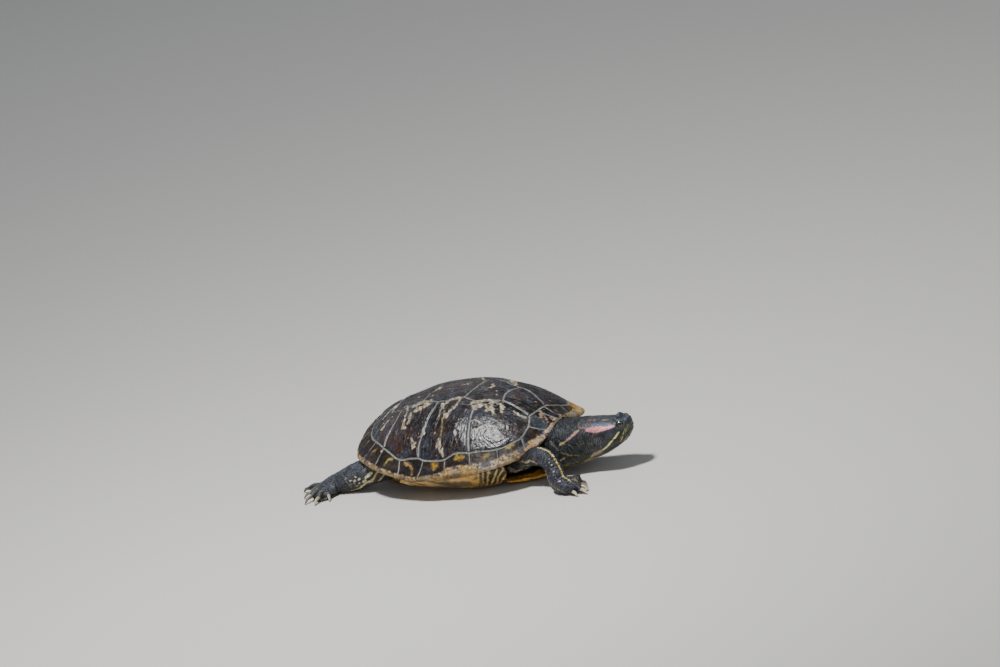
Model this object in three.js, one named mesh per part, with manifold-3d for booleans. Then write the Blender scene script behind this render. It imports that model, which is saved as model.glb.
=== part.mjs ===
// Red-eared slider, adult female, life size, still. Millimetres, +X to the nose, +Y to the left, +Z up.
// Origin: centre of the bounding box in plan, on the surface that the plastron and feet rest on.
import * as THREE from 'three';
import { mergeVertices } from 'three/addons/utils/BufferGeometryUtils.js';
import Module from 'manifold-3d';

const wasm = await Module();
wasm.setup();

// ---------------------------------------------------------------- driving dimensions (mm)
const SHIFT = [-12.1, -0.5, 0];             // places the plan centre of the bounding box at the origin
const GAP = 0.3;                     // clearance between touching pieces
const SHELL_X = -5;                  // plan centre of the shell
const DOME_Z = 79.5;                 // height of the dome
const STEP = 15;                     // spacing of the shell tables, degrees from the nose round to the tail
const RIM_R = [107.6, 108.0, 106.0, 98.4, 91.8, 85.8, 85.0, 85.9, 91.1, 96.4, 101.3, 101.8, 101.2];
const RIM_Z = [50.7, 41.5, 35.2, 32.0, 29.9, 28.3, 27.7, 29.4, 33.8, 36.4, 36.4, 39.8, 44.4];
const CORNER = 4.5;                   // how much longer the left front corner of the shell is than the right
const DOME_P = [3.20, 3.32, 3.07, 3.00, 3.10, 3.17, 3.16, 2.95, 2.62, 2.44, 2.30, 2.06, 1.92];
const DOME_Q = [1.53, 1.23, 1.25, 1.34, 1.40, 1.65, 1.85, 1.85, 1.63, 1.40, 1.20, 1.03, 0.92];
const LIP = [5, 5.1, 5.3, 5.4, 5.5, 6, 6.3, 6.5, 6.5, 6.5, 6.5, 6.5, 6.5];   // thickness of the marginal edge
const SHELL_T = 5;                   // thickness of the carapace
const PLASTRON_T = 5;                // thickness of the plastron
// plan outline of the plastron: angle in degrees, radius; 0 stands for "out to the marginals" (the bridge)
const PLASTRON = [[0, 104], [7, 105.5], [13, 104.5], [20, 99], [27, 90.5], [32, 83], [34.5, 83], [37, 0],
  [108, 0], [116, 58], [122, 54], [130, 57.5], [138, 63.5], [149, 74.5], [159, 84.5], [168, 91.5], [173, 92.5], [180, 86]];
const FRONT_LIFT = 3.6, REAR_LIFT = 3.5;       // how far the free lobes of the plastron curve up
const SOCKET_FRONT = 24, SOCKET_REAR = 17;     // depth of the skin inside the shell openings

// ---------------------------------------------------------------- helpers
const rad = (d) => d * Math.PI / 180;
const V = (x, y, z) => new THREE.Vector3(x, y, z);

// smooth table over the angle, mirrored at nose and tail
function tab(T, th) {
  const a = Math.abs(th) * 180 / Math.PI / STEP, n = T.length - 1;
  const i = Math.min(Math.floor(a), n - 1), f = a - i;
  const g = (k) => T[Math.abs(k) > n ? 2 * n - Math.abs(k) : Math.abs(k)];
  const p0 = g(i - 1), p1 = g(i), p2 = g(i + 1), p3 = g(i + 2);
  return 0.5 * (2 * p1 + (p2 - p0) * f + (2 * p0 - 5 * p1 + 4 * p2 - p3) * f * f + (3 * p1 - p0 - 3 * p2 + p3) * f * f * f);
}
function lerpTable(T, x) {
  for (let i = 1; i < T.length; i++) if (x <= T[i][0]) {
    const [a, u] = T[i - 1], [b, v] = T[i];
    return u + (v - u) * (x - a) / (b - a);
  }
  return T[T.length - 1][1];
}
const domeZ = (th, rho) => {
  const z = tab(RIM_Z, th), r = Math.min(rho, 1);
  return z + (DOME_Z - z) * Math.pow(Math.max(0, 1 - Math.pow(r, tab(DOME_P, th))), tab(DOME_Q, th));
};
const rimR = (th) => tab(RIM_R, th) + CORNER * Math.exp(-Math.pow((th * 180 / Math.PI - 31) / 9, 2));
const polar = (th, r, z) => V(SHELL_X + r * Math.cos(th), r * Math.sin(th), z);

// closed solid from rings of equal length; the first and last ring shrink to one point each
function ringSolid(first, rings, last) {
  const n = rings[0].length, pos = [], idx = [];
  const add = (v) => { pos.push(v.x, v.y, v.z); return pos.length / 3 - 1; };
  const a = add(first), R = rings.map((r) => r.map(add)), b = add(last);
  for (let j = 0; j < n; j++) {
    const k = (j + 1) % n;
    idx.push(a, R[0][j], R[0][k]);
    for (let i = 0; i + 1 < R.length; i++) idx.push(R[i][j], R[i + 1][j], R[i + 1][k], R[i][j], R[i + 1][k], R[i][k]);
    const L = R[R.length - 1];
    idx.push(b, L[k], L[j]);
  }
  const g = new THREE.BufferGeometry();
  g.setAttribute('position', new THREE.Float32BufferAttribute(pos, 3));
  g.setIndex(idx);
  return outward(g);
}
function volume(g) {
  const p = g.attributes.position, ix = g.index.array, a = V(), b = V(), c = V();
  let s = 0;
  for (let i = 0; i < ix.length; i += 3) {
    a.fromBufferAttribute(p, ix[i]); b.fromBufferAttribute(p, ix[i + 1]); c.fromBufferAttribute(p, ix[i + 2]);
    s += a.dot(b.cross(c));
  }
  return s / 6;
}
function outward(g) {
  if (volume(g) < 0) { const a = g.index.array; for (let i = 0; i < a.length; i += 3) { const t = a[i]; a[i] = a[i + 1]; a[i + 1] = t; } }
  return g;
}
// solids for joining and cutting
function solid(g) {
  const h = g.index ? g.clone() : g.clone();
  h.deleteAttribute('normal'); h.deleteAttribute('uv');
  const m = mergeVertices(h, 1e-4);
  return new wasm.Manifold(new wasm.Mesh({ numProp: 3, vertProperties: new Float32Array(m.attributes.position.array), triVerts: new Uint32Array(m.index.array) }));
}
// the one main body of a cut solid, without loose slivers or closed pockets
const mainBody = (man) => man.decompose().reduce((a, b) => (Math.abs(a.volume()) > Math.abs(b.volume()) ? a : b));
function geometry(man, tol) {
  const m = mainBody(mainBody(man).simplify(tol)).getMesh(), g = new THREE.BufferGeometry();
  g.setAttribute('position', new THREE.Float32BufferAttribute(Array.from(m.vertProperties), 3));
  g.setIndex(Array.from(m.triVerts));
  return g;
}
const join = (list) => list.reduce((a, b) => a.add(b));
const cut = (a, ...tools) => tools.reduce((s, t) => s.subtract(t), a);

// flesh tube through stations [x, y, z, half width, half height above, half height below, squareness]
function tube(st, n = 14, opt = {}) {
  const c = st.map((s) => V(s[0], s[1], s[2])), rings = [];
  for (let i = 0; i < st.length; i++) {
    const t = V().subVectors(c[Math.min(i + 1, st.length - 1)], c[Math.max(i - 1, 0)]).normalize();
    if (opt.axis && (i === 0 || opt.allAxis)) t.copy(opt.axis).normalize();
    if (opt.endAxis && i === st.length - 1) t.copy(opt.endAxis).normalize();
    const side = V(0, 0, 1).cross(t).normalize(), up = V().crossVectors(t, side).normalize();
    const [, , , w, a, b, e = 2] = st[i], ring = [];
    for (let j = 0; j < n; j++) {
      const q = 2 * Math.PI * j / n, cs = Math.cos(q), sn = Math.sin(q);
      const k = Math.pow(Math.pow(Math.abs(cs), e) + Math.pow(Math.abs(sn), e), -1 / e);
      ring.push(c[i].clone().addScaledVector(side, w * cs * k).addScaledVector(up, (sn > 0 ? a : b) * sn * k));
    }
    rings.push(ring);
  }
  return solid(ringSolid(c[0], rings, c[c.length - 1]));
}
const bigBox = (x0, y0, z0, x1, y1, z1) => {
  const g = new THREE.BoxGeometry(x1 - x0, y1 - y0, z1 - z0);
  g.translate((x0 + x1) / 2, (y0 + y1) / 2, (z0 + z1) / 2);
  return solid(g);
};
const underfloor = bigBox(-300, -300, -100, 300, 300, 0);

// ---------------------------------------------------------------- carapace
const ANG = [];
for (let k = -24; k < 24; k++) ANG.push((k + 0.5) * 180 / 24);
function carapaceRings(grow) {
  // grow: extra offset used when this shape cuts its neighbours
  const top = [0.16, 0.34, 0.5, 0.64, 0.76, 0.86, 0.94].map((r) => ANG.map((d) => {
    const th = rad(d);
    return polar(th, r * rimR(th), domeZ(th, r) + grow);
  }));
  const lip = [[0, 0], [1, 0.45], [0.2, 0.86], [-1.6, 1]].map(([o, f]) => ANG.map((d) => {
    const th = rad(d);
    return polar(th, rimR(th) + o + grow, domeZ(th, 1) - f * tab(LIP, th) + grow * (1 - 2 * f));
  }));
  const under = [0.92, 0.82, 0.66, 0.46, 0.24].map((r) => ANG.map((d) => {
    const th = rad(d), t = SHELL_T + Math.max(0, r - 0.84) / 0.12 * (tab(LIP, th) - SHELL_T) * 0.8;
    return polar(th, r * (rimR(th) - 1), domeZ(th, r) - t * (1 + 0.25 * r) - grow * 1.4);
  }));
  return [...top, ...lip, ...under];
}
const carapaceSolid = (grow) => solid(ringSolid(V(SHELL_X, 0, DOME_Z + grow), carapaceRings(grow), V(SHELL_X, 0, DOME_Z - SHELL_T - grow)));
const carapace = carapaceSolid(0);
const carapaceFat = carapaceSolid(GAP + 0.1);

// ---------------------------------------------------------------- plastron with its two bridges
const PANG = [];
for (const s of [1, -1]) for (const d of [4, 9, 14, 20, 26, 31, 34.5, 37, 44, 52, 60, 69, 78, 87, 97, 106, 110, 116, 123, 131, 140, 150, 159, 167, 174]) PANG.push(s * d);
PANG.push(0, 180); PANG.sort((a, b) => a - b);
function plastronEdge(th) {
  const d = Math.abs(th) * 180 / Math.PI;
  const rim = rimR(th) - 1.9, T = PLASTRON.map(([a, r]) => [a, r === 0 ? rim : r]);
  return Math.min(rim, lerpTable(T, d));
}
function bridge(th) { // 1 on the bridge, 0 on the free lobes
  const d = Math.abs(th) * 180 / Math.PI;
  return Math.max(0, Math.min(1, (d - 33.5) / 4.5, (118 - d) / 12));
}
function plastronZ(th, rho) { // underside
  const b = bridge(th), free = Math.abs(th) < Math.PI / 2 ? FRONT_LIFT : REAR_LIFT;
  const edge = b * (domeZ(th, 1) - tab(LIP, th) - GAP - 0.4) + (1 - b) * free;
  const d = Math.abs(th) * 180 / Math.PI, fwd = Math.max(0, Math.min(1, (85 - d) / 42));
  const r0 = (0.43 + 0.15 * fwd) * b + 0.6 * (1 - b), e = (1.9 + 0.5 * fwd) * b + 1.6 * (1 - b);
  return rho <= r0 ? 0 : edge * Math.pow((rho - r0) / (1 - r0), e);
}
function plastronRings(grow) {
  const under = [0.4, 0.58, 0.74, 0.88, 1].map((r) => PANG.map((d) => {
    const th = rad(d);
    return polar(th, r * (plastronEdge(th) + grow), plastronZ(th, r) - grow);
  }));
  const over = [0.985, 0.88, 0.72, 0.5].map((r, k) => PANG.map((d) => {
    const th = rad(d), b = bridge(th), z = plastronZ(th, r);
    const t = k === 0 ? (b * 0.6 + (1 - b) * 2.6) : PLASTRON_T;
    const zt = Math.min(z + t, b > 0.02 ? domeZ(th, r * plastronEdge(th) / rimR(th)) - SHELL_T * 1.25 - 3.5 : 99);
    return polar(th, r * (plastronEdge(th) + grow) - (k === 0 ? 0 : b * 1.5), Math.max(zt, z + 0.3) + grow * 1.4);
  }));
  return [...under, ...over];
}
const plastronSolid = (grow) => solid(ringSolid(V(SHELL_X, 0, -grow), plastronRings(grow), V(SHELL_X, 0, PLASTRON_T + grow)));
const plastronFat = plastronSolid(GAP + 0.1);
const plastron = cut(plastronSolid(0), carapaceFat);

// ---------------------------------------------------------------- trunk: all the flesh between the two shells
const TANG = [];
for (let k = -12; k < 12; k++) TANG.push(k * 15 + 7.5);
function trunkSolid(grow) {
  const out = (th) => {
    const d = Math.abs(th) * 180 / Math.PI, b = Math.max(0, Math.min(1, (d - 34) / 12, (126 - d) / 14));
    const inset = b * 12 + (1 - b) * (d < 80 ? SOCKET_FRONT : SOCKET_REAR + 6 * Math.max(0, Math.min(1, (165 - d) / 20)));
    return rimR(th) - inset;
  };
  const low = (th) => { // lowest flesh between the lobes of the plastron
    const d = Math.abs(th) * 180 / Math.PI;
    return d < 80 ? 12 : 13;
  };
  const top = [0.3, 0.55, 0.74, 0.88, 1].map((r) => TANG.map((d) => {
    const th = rad(d), R = r * out(th);
    return polar(th, R + grow * r, domeZ(th, R / rimR(th)) - 4.8 + grow);
  }));
  const rim = [0.985].map((r) => TANG.map((d) => {
    const th = rad(d), z = 0.5 * (domeZ(th, 1) + low(th));
    return polar(th, r * out(th) - 4 + grow, z);
  }));
  const bottom = [0.93, 0.8, 0.62, 0.38].map((r) => TANG.map((d) => {
    const th = rad(d), R = r * out(th), rp = R / plastronEdge(th);
    const z = rp < 0.8 ? plastronZ(th, rp) + 2.6 : Math.max(low(th), plastronZ(th, Math.min(rp, 1)) + 2.6);
    return polar(th, R + grow * r, Math.min(z, domeZ(th, R / rimR(th)) - 9) - grow);
  }));
  return solid(ringSolid(V(SHELL_X, 0, DOME_Z - 4.5 + grow), [...top, ...rim, ...bottom], V(SHELL_X, 0, 2.6 - grow)));
}
const trunk = cut(trunkSolid(0), carapaceFat, plastronFat);
const trunkFat = trunkSolid(GAP + 0.15);
const shellTools = [trunkFat, carapaceFat, plastronFat, underfloor];

// ---------------------------------------------------------------- head and neck
const HEAD_YAW = rad(12), HEAD_PITCH = rad(8);
const SNOUT = V(180, 6, 42.5);
const headF = V(Math.cos(HEAD_YAW) * Math.cos(HEAD_PITCH), Math.sin(HEAD_YAW) * Math.cos(HEAD_PITCH), Math.sin(HEAD_PITCH));
const headS = V(0, 0, 1).cross(headF).normalize(), headU = V().crossVectors(headF, headS).normalize();
// distance behind the snout, half width, height above and below the axis, squareness
const HEAD = [[0, 3.0, 2.8, 4.8, 2.2], [1.2, 5.8, 5.0, 8.2, 2.4], [4, 8.2, 7.6, 10.8, 2.6], [8, 10.6, 9.8, 12.8, 2.8], [12, 12.2, 10.8, 14.4, 2.8],
  [19, 14.2, 11.5, 17.0, 2.6], [27, 16.0, 12.4, 20.0, 2.4], [35, 17.2, 13.7, 22.4, 2.3], [42, 17.5, 14.8, 23.6, 2.2], [49, 17.6, 16.0, 24.2, 2.1]];
const headAt = (s, dy = 0, dz = 0) => SNOUT.clone().addScaledVector(headF, -s).addScaledVector(headS, dy).addScaledVector(headU, dz);
const headSt = HEAD.map(([s, w, a, b, e]) => { const p = headAt(s); return [p.x, p.y, p.z, w, a, b, e]; }).reverse();
let head = tube(headSt, 20, { axis: headF, allAxis: true });
const neckEnd = headAt(49 + GAP);
const NECK = [[68, 0, 27, 17, 14, 12, 2], [84, -4, 29, 20.5, 19, 20, 2], [98, -7, 29.5, 21, 20.4, 23.2, 2.1], [110, -8, 31, 20, 19, 25, 2.1],
  [121, -6.6, 33.2, 18.6, 17.4, 24.8, 2.1], [neckEnd.x, neckEnd.y, neckEnd.z, 17.6, 16.0, 24.2, 2.1]];
const neck = cut(tube(NECK, 18, { endAxis: headF }), ...shellTools);
const neckFat = tube(NECK.map(([x, y, z, w, a, b, e]) => [x, y, z, w + 0.5, a + 0.5, b + 0.5, e]), 18, { endAxis: headF });

// eyes sit in sockets cut in the head
const EYE_R = 4.5, EYE_BACK = 9.6, EYE_UP = 4.2, EYE_OUT = 6.6;
const eyes = {};
for (const [name, s] of [['eye_right', -1], ['eye_left', 1]]) {
  const p = headAt(EYE_BACK, s * EYE_OUT, EYE_UP);
  const ball = new THREE.SphereGeometry(EYE_R, 12, 7), pit = new THREE.SphereGeometry(EYE_R + GAP, 12, 7);
  ball.rotateX(Math.PI / 2); pit.rotateX(Math.PI / 2);
  ball.translate(p.x, p.y, p.z); pit.translate(p.x, p.y, p.z);
  eyes[name] = solid(ball);
  head = head.subtract(solid(pit));
}

// ---------------------------------------------------------------- limbs
// a toe: from the foot to the claw base, then a curved claw whose tip rests at z = 0
function toe(base, tip, r0, lift, clawLen, clawR) {
  const b = V(...base), t = V(...tip), d = V(t.x - b.x, t.y - b.y, 0), len = d.length();
  d.normalize();
  const at = (s, z) => V(b.x, b.y, z).addScaledVector(d, s);
  const L = len - clawLen;                       // flesh length in plan
  const zEnd = clawR * 1.25 + clawLen * 0.34;
  const k1 = at(L * 0.5, (base[2] + zEnd) / 2 + lift), k2 = at(L, zEnd);
  const flesh = tube([[b.x, b.y, b.z, r0, r0, r0], [k1.x, k1.y, k1.z, r0 * 0.92, r0 * 0.95, r0 * 0.9], [k2.x, k2.y, k2.z, clawR * 1.45, clawR * 1.45, clawR * 1.35]], 7);
  const c0 = at(L + GAP + 0.05, zEnd - 0.1), c1 = at(L + clawLen * 0.5, zEnd * 0.86), c2 = at(L + clawLen * 0.85, zEnd * 0.42), c3 = at(len, 0.3);
  const cz = at(L - 0.05, zEnd - 0.1);
  const horn = (start, g) => tube([[start.x, start.y, start.z, clawR + g, clawR + g, clawR + g], [c1.x, c1.y, c1.z, clawR * 0.8 + g, clawR * 0.85 + g, clawR * 0.8 + g],
    [c2.x, c2.y, c2.z, clawR * 0.5 + g, clawR * 0.6 + g, clawR * 0.5 + g], [c3.x, c3.y, c3.z, 0.25 + g, 0.3 + g, 0.3 + g]], 6);
  return { flesh, claw: horn(c0, 0), bed: horn(cz, GAP + 0.16) };
}
function limb(prefix, leg, foot, toes, web) {
  const parts = {};
  const pieces = [tube(foot, 12, { axis: V(...foot[1].slice(0, 3)).sub(V(...foot[0].slice(0, 3))) })];
  const claws = [], beds = [];
  toes.forEach((t, k) => {
    const r = toe(t.base, t.tip, t.r, t.lift, t.claw, t.clawR);
    pieces.push(r.flesh);
    claws.push([`${prefix}_claw_${k + 1}`, r.claw]);
    beds.push(r.bed);
  });
  if (web) { // fan of skin between the toes
    const sh = new THREE.Shape(web.map(([x, y]) => new THREE.Vector2(x, y)));
    const g = new THREE.ExtrudeGeometry(sh, { depth: 3.4, bevelEnabled: false });
    g.translate(0, 0, -0.6);
    pieces.push(solid(g));
  }
  const footSolid = cut(join(pieces), ...shellTools, ...beds);
  parts[`${prefix}_leg`] = cut(tube(leg, 14, { endAxis: V(...foot[1].slice(0, 3)).sub(V(...foot[0].slice(0, 3))) }), ...shellTools, neckFat);
  parts[`${prefix}_foot`] = footSolid;
  for (const [n, c] of claws) parts[n] = c;
  return parts;
}
const FRONT_TOES = (P, tips) => tips.map((tip, k) => {
  const s = (k - 2) / 2;
  return { base: [P[0] + P[3] * s, P[1] + P[4] * s, P[2]], tip: [tip[0], tip[1], 0], r: 4.1 - 0.5 * Math.abs(s), lift: 3.4, claw: 8.2 - Math.abs(s) * 2.0, clawR: 1.75 };
});
const HIND_TOES = (P, tips) => tips.map((tip, k) => {
  const s = (k - 2) / 2;
  return { base: [P[0] + P[3] * s, P[1] + P[4] * s, P[2]], tip: [tip[0], tip[1], 0], r: 4.3 - 0.5 * Math.abs(s), lift: 1.6, claw: 9.6 - Math.abs(s) * 2.2, clawR: 1.7 };
});

const frontRight = limb('front_right',
  [[66, -32, 24, 14, 14, 14], [82, -41, 28, 11.5, 11, 12], [95, -44.5, 30.4, 9.4, 8.6, 9.4], [107, -46, 30.4, 8.6, 9, 9], [115, -47.6, 27, 8.4, 9.2, 8.4], [120.5, -50.4, 20.6, 8.6, 9.2, 8.4], [123.8, -53, 14.6, 8.8, 9.2, 8.6], [126.2, -55, 9.8, 9, 8.4, 8.4]],
  [[126.5, -55.2, 9.5, 9, 8.2, 8.4], [131.5, -57.2, 8.2, 9.8, 7.4, 8.8], [138, -57.2, 8.2, 11, 6.4, 8.8], [143.5, -56.8, 7.4, 10, 5, 8]],
  FRONT_TOES([139, -55.5, 7.4, -0.6, -6.8], [[144.5, -38.5], [150.5, -46.5], [156.5, -53.5], [159.5, -61.5], [152.5, -67.5]]), null);
const frontLeft = limb('front_left',
  [[66, 32, 24, 14, 14, 14], [79, 42, 22, 12, 11.5, 13], [89, 50, 18.5, 9.8, 9.2, 10.5], [95.5, 53.6, 14, 8.8, 8.4, 9], [100, 55.4, 10, 8.8, 7.6, 8]],
  [[100.3, 55.5, 9.7, 8.8, 7.4, 8], [105, 57.4, 8, 9.6, 6.4, 8.2], [110.5, 58.6, 7, 10.2, 5.4, 7.6], [115, 59.2, 6.2, 9, 4.4, 6.8]],
  FRONT_TOES([110.5, 58.6, 6.8, 0.8, -6.8], [[113, 76], [120.5, 71], [124.5, 63.5], [124, 54.5], [119.5, 44.5]]), null);
const HR_TIPS = [[-156.5, -60], [-146.5, -75], [-137, -88], [-124.5, -90.5], [-113.5, -81]];
const hindRight = limb('hind_right',
  [[-50, -34, 24, 16, 16, 15], [-68, -45, 22.5, 14.5, 14.5, 14.5], [-84, -52, 18.5, 13, 13, 13.5], [-100, -53.5, 14, 12.4, 12, 13], [-110, -54.5, 11.2, 12.4, 10.4, 11.6], [-118.6, -56, 8.8, 12.6, 9, 9.2]],
  [[-119, -56.1, 8.7, 12.6, 9, 9.1], [-124.5, -60.5, 7, 14, 7.4, 7.2], [-131, -68, 4.8, 14.5, 4.6, 4.8], [-136, -74, 3.6, 11, 2.6, 2.6]],
  HIND_TOES([-127, -65.5, 5.4, 5.5, -5.5], HR_TIPS),
  [[-120, -60], [-140, -63], [-141, -69], [-136, -75], [-130.5, -81], [-124, -82.5], [-117, -76], [-115, -68]]);
const HL_TIPS = [[-153, 66], [-141.5, 80], [-131, 91], [-119, 91.5], [-109, 81]];
const hindLeft = limb('hind_left',
  [[-50, 34, 24, 16, 16, 15], [-67, 46, 22, 14.5, 14.5, 14.5], [-81, 53.5, 18, 13, 13, 13.5], [-96, 56, 13.5, 12.4, 12, 12.6], [-106, 57.6, 11, 12.4, 10.4, 11.4], [-114.2, 59.4, 8.8, 12.6, 9, 9.2]],
  [[-114.6, 59.5, 8.7, 12.6, 9, 9.1], [-120, 64, 7, 14, 7.4, 7.2], [-126, 71.5, 4.8, 14.5, 4.6, 4.8], [-130.5, 78, 3.6, 11, 2.6, 2.6]],
  HIND_TOES([-122, 69, 5.4, 5.5, 5.5], HL_TIPS),
  [[-116, 63], [-136, 68], [-136, 74], [-130, 80], [-124.5, 85], [-118.5, 84.5], [-112, 78], [-110.5, 70]]);

// ---------------------------------------------------------------- tail
const tail = cut(tube([[-72, 2, 18, 12, 12, 11], [-88, 4, 14, 8.6, 8.6, 8.6], [-100, 7, 9.5, 6, 6, 6], [-111, 10, 5.4, 4.2, 4.2, 4.2], [-120, 13, 2.9, 2.7, 2.7, 2.6], [-127, 16.5, 1.6, 1.1, 1.1, 1.2]], 12), ...shellTools);

// ---------------------------------------------------------------- the model
const MAT = {
  shell: { color: 0x17140f, roughness: 0.35, metalness: 0 },
  plastron: { color: 0xb87a24, roughness: 0.45, metalness: 0 },
  skin: { color: 0x20221f, roughness: 0.6, metalness: 0 },
  eye: { color: 0x3f4a2a, roughness: 0.08, metalness: 0 },
  claw: { color: 0x9a8868, roughness: 0.4, metalness: 0 },
};
const turtle = new THREE.Group();
function addNode(name, man, mat, tol = 0.09) {
  const g = geometry(man, tol);
  g.translate(...SHIFT);
  g.computeVertexNormals();
  const mesh = new THREE.Mesh(g, new THREE.MeshStandardMaterial(MAT[mat]));
  mesh.name = name;
  turtle.add(mesh);
}
addNode('carapace', carapace, 'shell');
addNode('plastron', plastron, 'plastron');
addNode('trunk', trunk, 'skin', 0.3);
addNode('neck', neck, 'skin');
addNode('head', head, 'skin');
for (const [n, m] of Object.entries(eyes)) addNode(n, m, 'eye');
for (const set of [frontRight, frontLeft, hindRight, hindLeft])
  for (const [n, m] of Object.entries(set)) addNode(n, m, n.includes('claw') ? 'claw' : 'skin', n.includes('claw') ? 0.05 : 0.13);
addNode('tail', tail, 'skin', 0.13);

export default turtle;
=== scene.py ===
# Red-eared slider, adult female, life size: looks. Shape tables are in millimetres and placed in the row frame by M().
import math
import bpy
import numpy as np
from mathutils import Matrix, Vector


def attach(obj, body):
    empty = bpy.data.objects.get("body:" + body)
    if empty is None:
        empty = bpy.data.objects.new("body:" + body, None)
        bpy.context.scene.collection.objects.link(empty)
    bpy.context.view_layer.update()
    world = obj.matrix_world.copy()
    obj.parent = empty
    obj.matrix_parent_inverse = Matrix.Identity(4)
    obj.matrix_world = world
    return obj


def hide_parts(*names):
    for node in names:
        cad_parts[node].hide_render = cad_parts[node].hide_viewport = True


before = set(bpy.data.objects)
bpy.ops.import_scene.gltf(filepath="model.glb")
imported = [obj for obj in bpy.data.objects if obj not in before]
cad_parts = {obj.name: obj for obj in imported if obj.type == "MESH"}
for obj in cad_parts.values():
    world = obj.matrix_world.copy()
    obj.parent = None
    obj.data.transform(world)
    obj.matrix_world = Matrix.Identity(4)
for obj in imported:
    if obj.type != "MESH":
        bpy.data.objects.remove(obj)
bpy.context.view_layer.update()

SHIFT = np.array([-12.1, -0.5, 0.0])


def M(p):
    return (np.asarray(p, float) + SHIFT) / 1000.0


# ------------------------------------------------------------------ tables shared with the solids
SHELL_X, DOME_Z, STEP, CORNER = -5.0, 79.5, 15.0, 4.5
RIM_R = [107.6, 108.0, 106.0, 98.4, 91.8, 85.8, 85.0, 85.9, 91.1, 96.4, 101.3, 101.8, 101.2]
RIM_Z = [50.7, 41.5, 35.2, 32.0, 29.9, 28.3, 27.7, 29.4, 33.8, 36.4, 36.4, 39.8, 44.4]
DOME_P = [3.20, 3.32, 3.07, 3.00, 3.10, 3.17, 3.16, 2.95, 2.62, 2.44, 2.30, 2.06, 1.92]
DOME_Q = [1.53, 1.23, 1.25, 1.34, 1.40, 1.65, 1.85, 1.85, 1.63, 1.40, 1.20, 1.03, 0.92]
LIP = [5, 5.1, 5.3, 5.4, 5.5, 6, 6.3, 6.5, 6.5, 6.5, 6.5, 6.5, 6.5]
SHELL_T, PLASTRON_T, GAP = 5.0, 5.0, 0.3
PLASTRON = [[0, 104], [7, 105.5], [13, 104.5], [20, 99], [27, 90.5], [32, 83], [34.5, 83], [37, 0],
            [108, 0], [116, 58], [122, 54], [130, 57.5], [138, 63.5], [149, 74.5], [159, 84.5], [168, 91.5], [173, 92.5], [180, 86]]
FRONT_LIFT, REAR_LIFT = 3.6, 3.5


def tab(T, th):
    T = np.asarray(T, float)
    n = len(T) - 1
    a = np.abs(th) * 180 / np.pi / STEP
    i = np.minimum(np.floor(a).astype(int), n - 1)
    f = a - i

    def g(k):
        return T[np.where(np.abs(k) > n, 2 * n - np.abs(k), np.abs(k))]
    p0, p1, p2, p3 = g(i - 1), g(i), g(i + 1), g(i + 2)
    return 0.5 * (2 * p1 + (p2 - p0) * f + (2 * p0 - 5 * p1 + 4 * p2 - p3) * f * f + (3 * p1 - p0 - 3 * p2 + p3) * f ** 3)


def rim_r(th):
    return tab(RIM_R, th) + CORNER * np.exp(-((th * 180 / np.pi - 31) / 9) ** 2)


def dome_z(th, rho):
    z = tab(RIM_Z, th)
    r = np.clip(rho, 0, 1)
    return z + (DOME_Z - z) * np.maximum(0, 1 - r ** tab(DOME_P, th)) ** tab(DOME_Q, th)


def smooth(x, a=0.0, b=1.0):
    t = np.clip((x - a) / (b - a), 0, 1)
    return t * t * (3 - 2 * t)


def mix(a, b, t):
    """colours a and b mixed by t, one number for each point"""
    t = np.asarray(t)[..., None]
    return np.asarray(a) * (1 - t) + np.asarray(b) * t


# ------------------------------------------------------------------ seeded noise
def _hash(i, j, k, s):
    n = (i.astype(np.uint32) * np.uint32(374761393) + j.astype(np.uint32) * np.uint32(668265263)
         + k.astype(np.uint32) * np.uint32(2246822519) + np.uint32(s * 3266489917 & 0xFFFFFFFF))
    n = (n ^ (n >> np.uint32(13))) * np.uint32(1274126177)
    n = (n ^ (n >> np.uint32(15))) * np.uint32(2654435761)
    return ((n ^ (n >> np.uint32(16))) & np.uint32(0xFFFF)).astype(float) / 65535.0


def vnoise(P, seed=0):
    """value noise, -1 to 1, for points in lattice units"""
    P = np.asarray(P, float)
    I = np.floor(P).astype(np.int64)
    f = P - I
    f = f * f * f * (f * (f * 6 - 15) + 10)
    out = 0
    for dx in (0, 1):
        wx = f[..., 0] if dx else 1 - f[..., 0]
        for dy in (0, 1):
            wy = f[..., 1] if dy else 1 - f[..., 1]
            for dz in (0, 1):
                wz = f[..., 2] if dz else 1 - f[..., 2]
                out = out + wx * wy * wz * _hash(I[..., 0] + dx, I[..., 1] + dy, I[..., 2] + dz, seed)
    return out * 2 - 1


def fbm(P, size, seed=0, octaves=3, gain=0.5):
    P = np.asarray(P, float) / size
    out, a, tot = 0, 1.0, 0.0
    for o in range(octaves):
        out = out + a * vnoise(P * 2 ** o + 17.3 * o, seed + o)
        tot += a
        a *= gain
    return out / tot


def cells(P, size, seed=0):
    """Worley noise: nearest and second nearest distance in units of size, and the cell's own random number"""
    P = np.asarray(P, float) / size
    I = np.floor(P).astype(np.int64)
    d1 = np.full(P.shape[:-1], 9.0)
    d2 = d1.copy()
    cid = np.zeros(P.shape[:-1])
    for dx in (-1, 0, 1):
        for dy in (-1, 0, 1):
            for dz in (-1, 0, 1):
                a, b, c = I[..., 0] + dx, I[..., 1] + dy, I[..., 2] + dz
                q = np.stack([a + 0.1 + 0.8 * _hash(a, b, c, seed), b + 0.1 + 0.8 * _hash(a, b, c, seed + 1), c + 0.1 + 0.8 * _hash(a, b, c, seed + 2)], -1)
                d = np.sqrt(((P - q) ** 2).sum(-1))
                closer = d < d1
                d2 = np.where(closer, d1, np.minimum(d2, d))
                cid = np.where(closer, _hash(a, b, c, seed + 3), cid)
                d1 = np.where(closer, d, d1)
    return d1, d2, cid


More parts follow.
